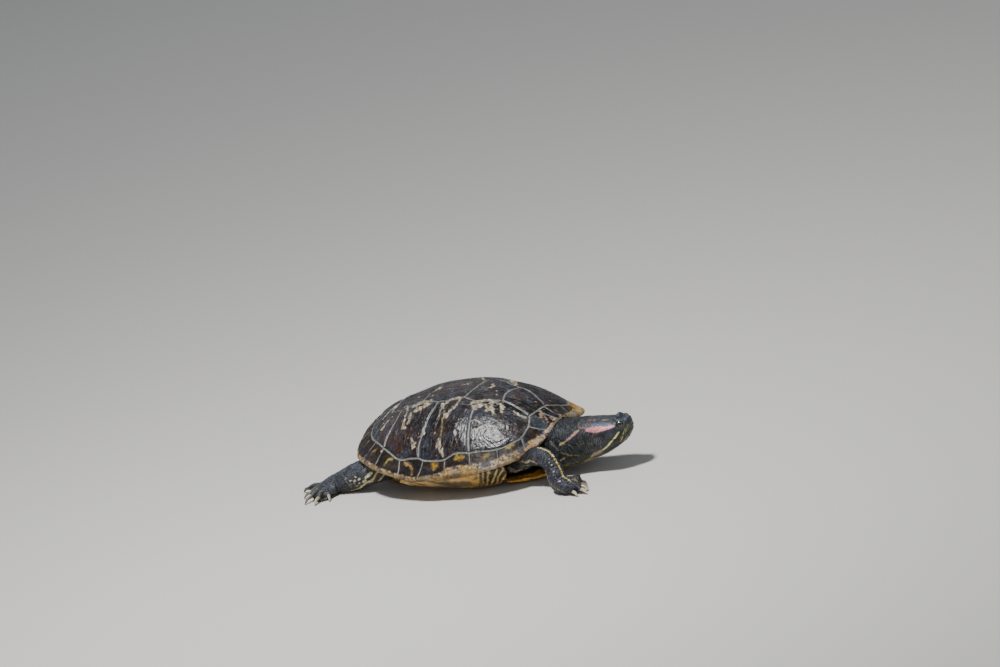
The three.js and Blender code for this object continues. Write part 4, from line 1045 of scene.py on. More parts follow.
class Tube:
    """flesh round a line of stations [x, y, z, half width, half height above, below, squareness]"""

    def __init__(self, st, step=2.4, inset=0.35):
        st = np.array([list(s) + [2.0] * (7 - len(s)) for s in st], float)
        rows = [st[0]]
        n = len(st)
        for i in range(n - 1):
            p0, p1, p2, p3 = st[max(i - 1, 0)], st[i], st[i + 1], st[min(i + 2, n - 1)]
            m = max(1, int(round(np.linalg.norm((p2 - p1)[:3]) / step)))
            for k in range(1, m + 1):
                f = k / m
                rows.append(0.5 * (2 * p1 + (p2 - p0) * f + (2 * p0 - 5 * p1 + 4 * p2 - p3) * f * f + (3 * p1 - p0 - 3 * p2 + p3) * f ** 3))
        R = np.array(rows)
        self.c = R[:, :3]
        self.r = np.maximum(R[:, 3:6] - inset, 0.25)
        self.e = np.maximum(R[:, 6], 1.9)
        t = np.gradient(self.c, axis=0)
        t /= np.linalg.norm(t, axis=1, keepdims=True)
        s = np.cross([0.0, 0.0, 1.0], t)
        s /= np.linalg.norm(s, axis=1, keepdims=True)
        self.t, self.s, self.u = t, s, np.cross(t, s)
        self.len = np.concatenate([[0], np.cumsum(np.linalg.norm(np.diff(self.c, axis=0), axis=1))])
        big = self.r.max(1)[:, None]
        self.lo, self.hi = (self.c - big).min(0), (self.c + big).max(0)

    def coords(self, P):
        n = len(P)
        best = np.full(n, 1e9)
        idx = np.zeros(n, int)
        fr = np.zeros(n)
        for i in range(len(self.c) - 1):
            v = self.c[i + 1] - self.c[i]
            q = P - self.c[i]
            raw = (q @ v) / (v @ v)
            f = np.clip(raw, 0, 1)
            d2 = ((q - f[:, None] * v) ** 2).sum(1)
            m = d2 < best
            best[m], idx[m] = d2[m], i
            fr[m] = (raw if i in (0, len(self.c) - 2) else f)[m]
        last = len(self.c) - 2
        ax = np.full(n, -1e3)
        L = self.len[idx + 1] - self.len[idx]
        a = (idx == 0)
        ax[a] = -fr[a] * L[a]
        a = (idx == last)
        ax[a] = (fr[a] - 1) * L[a]
        f = np.clip(fr, 0, 1)
        g = lambda A: A[idx] * (1 - f)[:, None] + A[idx + 1] * f[:, None]
        q = P - g(self.c)
        y, z = (q * g(self.s)).sum(1), (q * g(self.u)).sum(1)
        r = g(self.r)
        e = self.e[idx] * (1 - f) + self.e[idx + 1] * f
        return self.len[idx] + f * L, y, z, ax, r, e

    def dist(self, P):
        _, y, z, ax, r, e = self.coords(P)
        h = np.where(z > 0, r[:, 1], r[:, 2])
        k = ((np.abs(y) / r[:, 0] + 1e-6) ** e + (np.abs(z) / h + 1e-6) ** e) ** (1 / e)
        rad = np.hypot(y, z)
        dr = np.where(k > 0.05, rad * (1 - 1 / np.maximum(k, 0.05)), -np.minimum(r[:, 0], h))
        return np.minimum(np.maximum(dr, ax), 0) + np.hypot(np.maximum(dr, 0), np.maximum(ax, 0))

    def point(self, L, phi, out=0.0):
        """the point at that length along and angle round, and the directions out and along there"""
        i = np.clip(np.searchsorted(self.len, L) - 1, 0, len(self.len) - 2)
        f = (L - self.len[i]) / (self.len[i + 1] - self.len[i])
        g = lambda A: A[i] * (1 - f)[:, None] + A[i + 1] * f[:, None]
        r, e = g(self.r), self.e[i] * (1 - f) + self.e[i + 1] * f
        cs, sn = np.cos(phi), np.sin(phi)
        k = (np.abs(cs) ** e + np.abs(sn) ** e) ** (-1 / e)
        off = g(self.s) * (r[:, 0] * cs * k)[:, None] + g(self.u) * (np.where(sn > 0, r[:, 1], r[:, 2]) * sn * k)[:, None]
        n = off / np.linalg.norm(off, axis=1, keepdims=True)
        return g(self.c) + off + n * out, n, g(self.t)


def smin(a, b, k):
    h = np.clip(0.5 + 0.5 * (b - a) / k, 0, 1)
    return b * (1 - h) + a * h - k * h * (1 - h)


def smax(a, b, k):
    return -smin(-a, -b, k)


TUBES = {"neck": Tube(NECK_HEAD, inset=0.3)}
TUBES.update({k: Tube(v, inset=0.4) for k, v in LEGS.items()})
TUBES["tail"] = Tube(TAIL, inset=0.25)
TOES = {k: [Tube(f, inset=0.25) for f, _ in toes_of(k)] for k in FEET}
EYES = [head_at(EYE_BACK, s * EYE_OUT, EYE_UP) for s in (-1, 1)]
GAZE = []
for s_ in (-1, 1):
    g_ = s_ * headS * 0.93 + headF * 0.27 + headU * 0.20
    GAZE.append(g_ / np.linalg.norm(g_))
OPEN_A, OPEN_B = 3.35, 2.85   # half width and height of the opening between the lids


def eye_plane(P, k):
    """place in the plane of the lids: along, up, out from the eye's centre"""
    q = P - EYES[k]
    g = GAZE[k]
    a = headF - g * (headF @ g)
    a /= np.linalg.norm(a)
    b = np.cross(g, a)
    if b @ headU < 0:
        b = -b
    return q @ a, q @ b, q @ g


def head_shape(P, d):
    """brow, nose, jaw and lids added to the plain tube, near the front of the head"""
    s, y, z = head_co(P)
    for sg in (-1, 1):
        q = np.stack([(s - 12.0) / 5.8, (y - sg * 5.0) / 3.7, (z - 7.3) / 3.9], -1)
        r = np.linalg.norm(q, axis=-1)
        d = smin(d, (r - 1) * 3.7, 1.7)
        # swelling over each nostril
        q = np.stack([(s - 5.6) / 2.6, (y - sg * 2.6) / 2.4, (z - 4.6) / 2.3], -1)
        d = smin(d, (np.linalg.norm(q, axis=-1) - 1) * 2.4, 1.2)
        # cheek muscle and the corner of the jaw
        q = np.stack([(s - 30) / 13.0, (y - sg * 12.0) / 5.0, (z + 6) / 9.0], -1)
        d = smin(d, (np.linalg.norm(q, axis=-1) - 1) * 5.0, 3.0)
    # shallow saddle across the bridge of the nose
    d = smax(d, -(np.sqrt((s - 8.0) ** 2 + (z - 11.6) ** 2 + (y * 0.3) ** 2) - 5.4), 1.6)
    for k in (0, 1):
        a, b, o = eye_plane(P, k)
        r = np.sqrt(a * a + b * b + o * o)
        lid = r - (EYE_R + 0.42)
        d = smin(d, np.maximum(lid, -o + 0.6), 1.0)
        # opening, slightly longer than tall, its corners drawn out
        e = np.sqrt((a / OPEN_A) ** 2 + (b / OPEN_B) ** 2)
        pit = np.maximum((e - 1) * 3.2, np.maximum(0.9 - o, r - (EYE_R + 3)))
        pit = np.maximum(pit, 3.0 - r)
        d = smax(d, -pit, 0.35)
    return d


H = 0.93
LO, HI = np.array([-161.0, -96.0, -1.2]), np.array([183.0, 97.0, 62.0])
DIM = np.ceil((HI - LO) / H).astype(int) + 1
AX = [LO[i] + H * np.arange(DIM[i]) for i in range(3)]
FIELD = np.full(DIM, 30.0, np.float32)


def part_of(lo, hi):
    sl = []
    for i in range(3):
        a = max(0, int((lo[i] - LO[i]) / H) - 1)
        b = min(DIM[i], int((hi[i] - LO[i]) / H) + 3)
        sl.append(slice(a, b))
    return tuple(sl)


def points_in(sl):
    g = np.meshgrid(*[AX[i][sl[i]] for i in range(3)], indexing="ij")
    return np.stack([x.ravel() for x in g], -1), g[0].shape


def add_shape(lo, hi, fn, k, pad):
    sl = part_of(np.asarray(lo) - pad, np.asarray(hi) + pad)
    P, sh = points_in(sl)
    FIELD[sl] = smin(fn(P).reshape(sh), FIELD[sl], k).astype(np.float32)


# trunk between the shells
_gx, _gy = np.meshgrid(AX[0], AX[1], indexing="ij")
_th = np.arctan2(_gy, _gx - SHELL_X)
_R = np.hypot(_gx - SHELL_X, _gy)
_rim = rim_r(_th)
_deg = np.abs(np.degrees(_th))
_ped = plastron_edge(_th)
_dome = dome_z(_th, np.clip(_R / _rim, 0, 1))
_b = np.clip(np.minimum((_deg - 34) / 12, (126 - _deg) / 14), 0, 1)
_out = _rim - (_b * 12 + (1 - _b) * np.where(_deg < 80, 24, 17 + 6 * np.clip((165 - _deg) / 20, 0, 1)))
_low = np.where(_deg < 80, 12.0, 13.0)
_rp = _R / _ped
_pz = plastron_z(_th, np.clip(_rp, 0, 1))
_bot = np.minimum(np.where(_rp < 0.8, _pz + 2.6, np.maximum(_low, _pz + 2.6)), _dome - 9)
# underside of the dome and its edge, and the top of the plastron: flesh keeps clear of both
_rho = np.clip(_R / _rim, 0, 1)
_t = SHELL_T + np.maximum(0, _rho - 0.84) / 0.12 * (tab(LIP, _th) - SHELL_T) * 0.8
_ceil = _dome - np.minimum(_t * (1 + 0.25 * _rho), tab(LIP, _th) + 9 * (1 - _rho) + 0.4) - 0.55
_ceil = np.where(_R > _rim + 0.9, _ceil + (_R - _rim - 0.9) * 2.4, _ceil)
_ptop = _pz + np.where(_b > 0.02, 5.0, 2.6 + 2.6 * np.clip((1 - _rp) * 9, 0, 1)) + 0.35
_ptop = np.where(_R > _ped + 0.5, _ptop - (_R - _ped - 0.5) * 3.0, _ptop)
_ptop = np.where(_rp < 1.02, np.minimum(_ptop, _dome - 12), _ptop)

_z = AX[2][None, None, :]
_tr = smax(smax((_R - _out)[..., None] + 0 * _z, _z - (_dome - 5.6)[..., None], 4.0), _bot[..., None] - _z, 4.0)
FIELD = np.minimum(FIELD, _tr.astype(np.float32))


def web_dist(poly):
    L = np.array(poly, float)
    lo, hi = L.min(0) - 8, L.max(0) + 8

    def fn(P):
        X, Y = P[:, 0], P[:, 1]
        d = polyline_distance(X, Y, [np.vstack([L, L[:1]])], reach=10)
        d = np.where(inside_polygon(X, Y, L), -d, d)
        return np.maximum(d, np.abs(P[:, 2] - 1.3) - 1.0)
    return (lo[0], lo[1], -1), (hi[0], hi[1], 5), fn


def make_field():
    global FIELD
    t = TUBES["neck"]
    nk = lambda P: head_shape(P, t.dist(P))
    add_shape(t.lo, t.hi, nk, 6.0, 7)
    for name in LEGS:
        t = TUBES[name]
        # limb, foot, toes and web are joined first, then blended into the body
        keep = FIELD
        FIELD = np.full(DIM, 30.0, np.float32)
        add_shape(t.lo, t.hi, t.dist, 0.5, 8)
        for toe in TOES[name]:
            add_shape(toe.lo, toe.hi, toe.dist, 2.2, 4)
        if name in WEBS:
            lo, hi, fn = web_dist(WEBS[name])
            add_shape(lo, hi, fn, 2.4, 3)
        else:
            # short webs between the front toes
            P, tips = FEET[name][0], FEET[name][1]
            pts = [(P[0] - P[3], P[1] - P[4])]
            for k, tip in enumerate(tips):
                s = (k - 2) / 2
                bx, by = P[0] + P[3] * s, P[1] + P[4] * s
                pts.append((bx + (tip[0] - bx) * 0.42, by + (tip[1] - by) * 0.42))
            pts.append((P[0] + P[3], P[1] + P[4]))
            lo, hi, fn = web_dist(pts)
            add_shape(lo, hi, lambda Q, f=fn: f(Q - np.array([0, 0, 2.2])), 2.2, 3)
        FIELD = smin(FIELD, keep, 5.0 if name.startswith("front") else 6.0)
    t = TUBES["tail"]
    add_shape(t.lo, t.hi, t.dist, 6.0, 7)
    z = AX[2][None, None, :]
    F = smax(FIELD, (z - _ceil[..., None]).astype(np.float32) * 0.8, 1.6)
    inside = (_rp < 1.25)[..., None] & (z < 30)
    F = np.where(inside, smax(F, (_ptop[..., None] - z).astype(np.float32) * 0.8, 1.2), F)
    FIELD = np.maximum(F, (0.12 - z)).astype(np.float32)


def sample(A, P):
    q = (P - LO) / H
    i = np.clip(np.floor(q).astype(int), 0, DIM - 2)
    f = np.clip(q - i, 0, 1)
    out = 0
    for dx in (0, 1):
        for dy in (0, 1):
            for dz in (0, 1):
                w = (f[:, 0] if dx else 1 - f[:, 0]) * (f[:, 1] if dy else 1 - f[:, 1]) * (f[:, 2] if dz else 1 - f[:, 2])
                out = out + w * A[i[:, 0] + dx, i[:, 1] + dy, i[:, 2] + dz]
    return out


def field_grad(P, h=0.5):
    g = np.stack([sample(FIELD, P + e) - sample(FIELD, P - e) for e in np.eye(3) * h], -1)
    return g / np.maximum(np.linalg.norm(g, axis=1, keepdims=True), 1e-6)


def surface_nets(A):
    inside = A < 0
    S = [n - 1 for n in A.shape]
    cnt = np.zeros(S, np.float32)
    pos = [np.zeros(S, np.float32) for _ in range(3)]
    quads = []
    ids = None
    edges = []
    for ax in range(3):
        lo = [slice(None)] * 3
        hi = [slice(None)] * 3
        lo[ax], hi[ax] = slice(0, -1), slice(1, None)
        a, b = A[tuple(lo)], A[tuple(hi)]
        cross = inside[tuple(lo)] != inside[tuple(hi)]
        i, j, k = np.nonzero(cross)
        va, vb = a[i, j, k], b[i, j, k]
        t = va / (va - vb)
        p = [i.astype(np.float32), j.astype(np.float32), k.astype(np.float32)]
        p[ax] = p[ax] + t
        o = [x for x in range(3) if x != ax]
        c = [i, j, k]
        for d0 in (0, -1):
            for d1 in (0, -1):
                cc = [i.copy(), j.copy(), k.copy()]
                cc[o[0]] = cc[o[0]] + d0
                cc[o[1]] = cc[o[1]] + d1
                ok = (cc[0] >= 0) & (cc[1] >= 0) & (cc[2] >= 0) & (cc[0] < S[0]) & (cc[1] < S[1]) & (cc[2] < S[2])
                flat = np.ravel_multi_index([x[ok] for x in cc], S)
                cnt += np.bincount(flat, minlength=cnt.size).reshape(S)
                for m in range(3):
                    pos[m] += np.bincount(flat, weights=p[m][ok], minlength=cnt.size).reshape(S)
        edges.append((ax, o, i, j, k, inside[tuple(lo)][i, j, k]))
    used = cnt > 0
    ids = np.full(S, -1, np.int64)
    ids[used] = np.arange(used.sum())
    V = np.stack([pos[m][used] / cnt[used] for m in range(3)], -1)
    for ax, o, i, j, k, ins in edges:
        c = [i, j, k]
        ok = (c[o[0]] > 0) & (c[o[1]] > 0) & (c[o[0]] < S[o[0]]) & (c[o[1]] < S[o[1]])
        c = [x[ok] for x in c]
        ins = ins[ok]

        def at(d0, d1):
            q = list(c)
            q[o[0]] = q[o[0]] + d0
            q[o[1]] = q[o[1]] + d1
            return ids[q[0], q[1], q[2]]
        Q = np.stack([at(-1, -1), at(0, -1), at(0, 0), at(-1, 0)], -1)
        flip = ins if ax != 1 else ~ins
        Q[~flip] = Q[~flip][:, ::-1]
        quads.append(Q)
    return LO + V * H, np.concatenate(quads)


def vertex_normals(V, T):
    a, b, c = V[T[:, 0]], V[T[:, 1]], V[T[:, 2]]
    n = np.cross(b - a, c - a)
    N = np.stack([sum(np.bincount(T[:, k], weights=n[:, m], minlength=len(V)) for k in range(3)) for m in range(3)], -1)
    return N / np.maximum(np.linalg.norm(N, axis=1, keepdims=True), 1e-9)


def relax(V, T, times=1, amount=0.5, mask=None):
    for _ in range(times):
        S = np.zeros_like(V)
        C = np.zeros(len(V))
        for a, b in ((0, 1), (1, 2), (2, 0), (1, 0), (2, 1), (0, 2)):
            C += np.bincount(T[:, a], minlength=len(V))
            for m in range(3):
                S[:, m] += np.bincount(T[:, a], weights=V[T[:, b], m], minlength=len(V))
        A = S / np.maximum(C, 1)[:, None]
        w = amount if mask is None else amount * mask[:, None]
        V = V + (A - V) * w
    return V


def refine(V, Q, chosen):
    """cuts the chosen quads in four and fans their neighbours, giving triangles with no gaps"""
    E = np.stack([np.stack([Q[:, i], Q[:, (i + 1) % 4]], -1) for i in range(4)], 1)
    E.sort(axis=2)
    key = E[..., 0].astype(np.int64) * (len(V) + 1) + E[..., 1]
    cut = np.unique(key[chosen])
    where_ = np.searchsorted(cut, key)
    where_ = np.minimum(where_, len(cut) - 1)
    has = cut[where_] == key
    ea, eb = cut // (len(V) + 1), cut % (len(V) + 1)
    mids = (V[ea] + V[eb]) / 2
    n0 = len(V)
    mid_id = where_ + n0
    part = has.any(1)
    cen_id = np.full(len(Q), -1)
    cen_id[part] = np.arange(part.sum()) + n0 + len(mids)
    cen = V[Q[part]].mean(1)
    tris = []
    plain = Q[~part]
    tris += [plain[:, [0, 1, 2]], plain[:, [0, 2, 3]]]
    for i in range(4):
        j = (i + 1) % 4
        a, b, m = Q[part, i], Q[part, j], mid_id[part, i]
        h = has[part, i]
        c = cen_id[part]
        tris += [np.stack([a[h], m[h], c[h]], -1), np.stack([m[h], b[h], c[h]], -1), np.stack([a[~h], b[~h], c[~h]], -1)]
    return np.concatenate([V, mids, cen]), np.concatenate(tris), n0


def seg3(P, line):
    L = np.asarray(line, float)
    best = np.full(len(P), 1e9)
    for a, b in zip(L[:-1], L[1:]):
        v = b - a
        q = P - a
        f = np.clip((q @ v) / max(v @ v, 1e-9), 0, 1)
        best = np.minimum(best, ((q - f[:, None] * v) ** 2).sum(1))
    return np.sqrt(best)


MOUTH = np.array([(2.6, -3.0), (4.6, -4.3), (7.6, -6.0), (12, -7.2), (16.5, -7.6), (20.5, -6.9), (23.8, -5.0)])


def relief(P, N):
    """folds, creases, lids and mouth: height over the blended body, in millimetres"""
    s, y, z = head_co(P)
    onhead = 1 - smooth(s, 44, 54)
    right = y < 0
    h = np.zeros(len(P))
    fine = fbm(P, 1.3, 301, 2)
    mid = fbm(P, 4.0, 305, 3)
    # ---- head
    front = 1 - smooth(s, 24, 30)
    dm = seg3(np.stack([s, z, 0 * s], -1), np.column_stack([MOUTH, np.zeros(len(MOUTH))]))
    zm = np.interp(s, MOUTH[:, 0], MOUTH[:, 1])
    mouth = (1 - smooth(s, 22, 25)) * onhead
    h += mouth * (-0.55 * np.exp(-(dm / 0.42) ** 2) + 0.22 * np.exp(-((z - zm - 1.0) / 0.8) ** 2) - 0.15 * np.exp(-((z - zm + 1.4) / 1.0) ** 2))
    for sg in (-1, 1):
        dn = np.sqrt((s - 3.5) ** 2 + (y - sg * 1.9) ** 2 + (z - 2.6) ** 2)
        h += -0.75 * np.exp(-(dn / 0.65) ** 2) + 0.18 * np.exp(-((dn - 1.25) / 0.4) ** 2)
    for k in (0, 1):
        a, b, o = eye_plane(P, k)
        e = np.sqrt((a / OPEN_A) ** 2 + (b / OPEN_B) ** 2)
        near = (o > 0) * (1 - smooth(e, 2.0, 2.6))
        upper = smooth(b, -0.5, 1.5)
        h += near * (0.30 * np.exp(-((e - 1.16) / 0.10) ** 2) - 0.22 * np.exp(-((e - 1.36) / 0.08) ** 2) + 0.14 * np.exp(-((e - 1.52) / 0.08) ** 2)
                     - 0.16 * np.exp(-((e - 1.70) / 0.08) ** 2) + 0.12 * upper * np.exp(-((e - 1.9) / 0.12) ** 2))
        # crow's feet behind the eye
        ang = np.arctan2(b, -a)
        h += near * 0.07 * np.sin(ang * 22 + 3 * mid) * smooth(e, 1.3, 1.6) * (a < 0)
    # eardrum
    de = np.hypot(s - 29.5, z + 1.5)
    h += onhead * (np.abs(y) > 8) * (-0.28 * (1 - smooth(de, 3.6, 4.6)) + 0.16 * np.exp(-((de - 5.0) / 0.6) ** 2))
    # faint plates on the crown, fine grain on the snout
    d1, d2, _ = cells(P, 5.2, 311)
    h += front * 0.10 * smooth(d2 - d1, 0.02, 0.16) * smooth(z, 3, 7)
    h += onhead * 0.035 * fine
    # arcs of fine wrinkles behind the jaw, centred below the ear
    back = smooth(s, 24, 31) * (1 - smooth(s, 60, 74)) * (np.abs(y) > 3) + 0.0
    rr = np.hypot(s - 22, (z + 13) * 0.85)
    arcs = np.sin(rr * 3.1 + 2.2 * mid) * 0.5 + 0.5
    h += back * -0.46 * (1 - arcs) ** 2 * smooth(14 - np.abs(rr - 18), 0, 6) * (0.6 + 0.6 * mid)
    # ---- neck: soft cross folds that deepen towards the shell
    L, yy, zz, ax, r, _ = TUBES["neck"].coords(P)
    near = np.exp(-(np.maximum(np.hypot(yy, zz) - r.max(1), 0) / 4) ** 2)
    nk = near * (1 - smooth(L, 44, 78))
    ph = L / 3.4 + 0.8 * mid + 0.35 * np.sin(np.arctan2(zz, yy) * 3)
    fold = np.abs((ph % 1) - 0.5) * 2
    h += nk * -1.05 * (1 - smooth(fold, 0.0, 0.55))
    ph2 = L / 1.9 + 1.3 * mid
    fold2 = np.abs((ph2 % 1) - 0.5) * 2
    h += near * smooth(s, 40, 52) * -0.34 * (1 - smooth(fold2, 0.0, 0.6))
    nod1, nod2, _ = cells(P * [1, 1, 1], 1.9, 331)
    h += near * smooth(s, 38, 56) * 0.16 * smooth(nod2 - nod1, 0.03, 0.3)
    # ---- limbs: creases across, deeper at the bends
    for name in LEGS:
        t = TUBES[name]
        m = np.nonzero(((P > t.lo - 6) & (P < t.hi + 6)).all(1))[0]
        if not len(m):
            continue
        L, yy, zz, ax, r, _ = t.coords(P[m])
        w = np.exp(-(np.maximum(np.hypot(yy, zz) - r.max(1), 0) / 3) ** 2)
        total = t.len[-1]
        ph = L / 2.5 + 1.1 * mid[m] + 0.12 * yy
        f1 = np.abs((ph % 1) - 0.5) * 2
        h[m] += w * -0.42 * (1 - smooth(f1, 0, 0.5)) * (0.5 + 0.5 * np.clip(mid[m] + 0.4, 0, 1.4))
        bend = total * (0.70 if name.startswith("hind") else 0.62)
        for off, dep in ((-5.2, 0.45), (-1.8, 0.75), (1.7, 0.7), (5.0, 0.4)):
            h[m] += w * -dep * np.exp(-(((L - bend - off) + 1.2 * mid[m] + 0.14 * zz) / 0.8) ** 2) * (0.6 + 0.6 * np.clip(mid[m] + .3, 0, 1))
        h[m] += w * 0.30 * mid[m] * (1 - smooth(L, total * 0.5, total * 0.9))
        # loose skin gathered at the shell
        h[m] += w * -0.5 * (1 - smooth(np.abs(((L / 4.3 + 0.7 * mid[m]) % 1) - 0.5) * 2, 0, 0.5)) * (1 - smooth(L, 14, 34))
    # ---- toes: knuckle creases
    for name in TOES:
        for t in TOES[name]:
            m = np.nonzero(((P > t.lo - 1.5) & (P < t.hi + 1.5)).all(1))[0]
            if not len(m):
                continue
            L, yy, zz, ax, r, _ = t.coords(P[m])
            w = np.exp(-(np.maximum(np.hypot(yy, zz) - r.max(1), 0) / 1.0) ** 2)
            ph = L / 1.9 + 0.3 * mid[m]
            h[m] += w * -0.28 * (1 - smooth(np.abs((ph % 1) - 0.5) * 2, 0, 0.45)) * smooth(zz, -1, 1)
    # ---- tail: rings
    t = TUBES["tail"]
    m = np.nonzero(((P > t.lo - 3) & (P < t.hi + 3)).all(1))[0]
    L, yy, zz, ax, r, _ = t.coords(P[m])
    ph = L / 2.1 + 0.4 * mid[m]
    h[m] += -0.2 * (1 - smooth(np.abs((ph % 1) - 0.5) * 2, 0, 0.5)) * np.exp(-(np.maximum(np.hypot(yy, zz) - r.max(1), 0) / 2) ** 2)
    # the rest: general grain
    h += 0.10 * mid * (1 - onhead) + 0.03 * fine
    return h


make_field()
SV, SQ = surface_nets(FIELD)


def hidden_points(P):
    th = np.arctan2(P[:, 1], P[:, 0] - SHELL_X)
    R = np.hypot(P[:, 0] - SHELL_X, P[:, 1])
    rim, ped = rim_r(th), plastron_edge(th)
    dz = dome_z(th, np.clip(R / rim, 0, 1))
    deg = np.abs(np.degrees(th))
    top = (R < rim * 0.86) & (P[:, 2] > dz - 12) & (R < rim - 14)
    low = (R < ped - 9) & (P[:, 2] < plastron_z(th, np.clip(R / ped, 0, 1)) + 7.5)
    side = (deg > 40) & (deg < 104) & (R < rim - 6)
    deep = R < rim - 44
    return top | low | side | deep


def cluster(V, Q, hidden, size=6.0):
    """merges the points that no one can see into few"""
    key = np.floor(V / size).astype(np.int64)
    code = (key[:, 0] + 500) * 1000000 + (key[:, 1] + 500) * 1000 + key[:, 2] + 500
    code = np.where(hidden, code, -1 - np.arange(len(V)))
    u, inv = np.unique(code, return_inverse=True)
    n = np.bincount(inv)
    W = np.stack([np.bincount(inv, weights=V[:, m]) / n for m in range(3)], -1)
    return W, inv[Q]


def make_skin():
    V, Q = SV, SQ
    hid = hidden_points(V)
    # a point counts as hidden only if all round it are
    bad = ~hid
    spread = np.zeros(len(V), bool)
    for i in range(4):
        spread[Q[bad[Q].any(1), i]] = True
    hid &= ~spread
    V, Q = cluster(V, Q, hid)
    q = np.sort(Q, 1)
    same = (np.diff(q, axis=1) == 0).sum(1)
    tri_from = Q[same == 1]
    Q4 = Q[same == 0]
    s, y, z = head_co(V)
    lim = 26.0
    fine = (s < lim)
    chosen = fine[Q4].all(1)
    V, T, n0 = refine(V, Q4, chosen)
    # quads that lost one point become triangles
    extra = []
    for row in tri_from:
        r = [row[0]]
        for v in row[1:]:
            if v != r[-1] and v != r[0]:
                r.append(v)
        if len(r) == 3:
            extra.append(r)
    if extra:
        T = np.concatenate([T, np.array(extra)])
    # settle the points on the body
    s, y, z = head_co(V)
    on_front = s < lim + 1.5
    vis = ~hidden_points(V)
    rest = vis & ~on_front
    V = relax(V, T, 2, 0.5, vis.astype(float))
    for _ in range(2):
        P = V[rest]
        V[rest] = P - field_grad(P) * np.clip(sample(FIELD, P), -0.6, 0.6)[:, None]
    t = TUBES["neck"]
    f = lambda P: head_shape(P, t.dist(P))
    idx = np.nonzero(on_front)[0]
    for it in range(4):
        P = V[idx]
        d = f(P)
        g = np.stack([f(P + e) - f(P - e) for e in np.eye(3) * 0.12], -1)
        g /= np.maximum(np.linalg.norm(g, axis=1, keepdims=True), 1e-6)
        V[idx] = P - g * np.clip(d, -0.5, 0.5)[:, None] * 0.9
        if it < 2:
            V = relax(V, T, 1, 0.35, on_front.astype(float))
    N = vertex_normals(V, T)
    h = relief(V, N)
    # keep the clipped faces against shell and floor flat
    V2 = V + N * h[:, None]
    V2[:, 2] = np.maximum(V2[:, 2], 0.05)
    return V2, T, N, h


BODY_V, BODY_T, BODY_N, BODY_H = make_skin()
BODY_N = vertex_normals(BODY_V, BODY_T)

SK_DARK = np.array([0.011, 0.012, 0.014])
SK_GREY = np.array([0.048, 0.053, 0.064])
SK_YEL = np.array([0.62, 0.52, 0.15])
SK_CREAM = np.array([0.62, 0.55, 0.36])
SK_PINK = np.array([0.78, 0.30, 0.29])
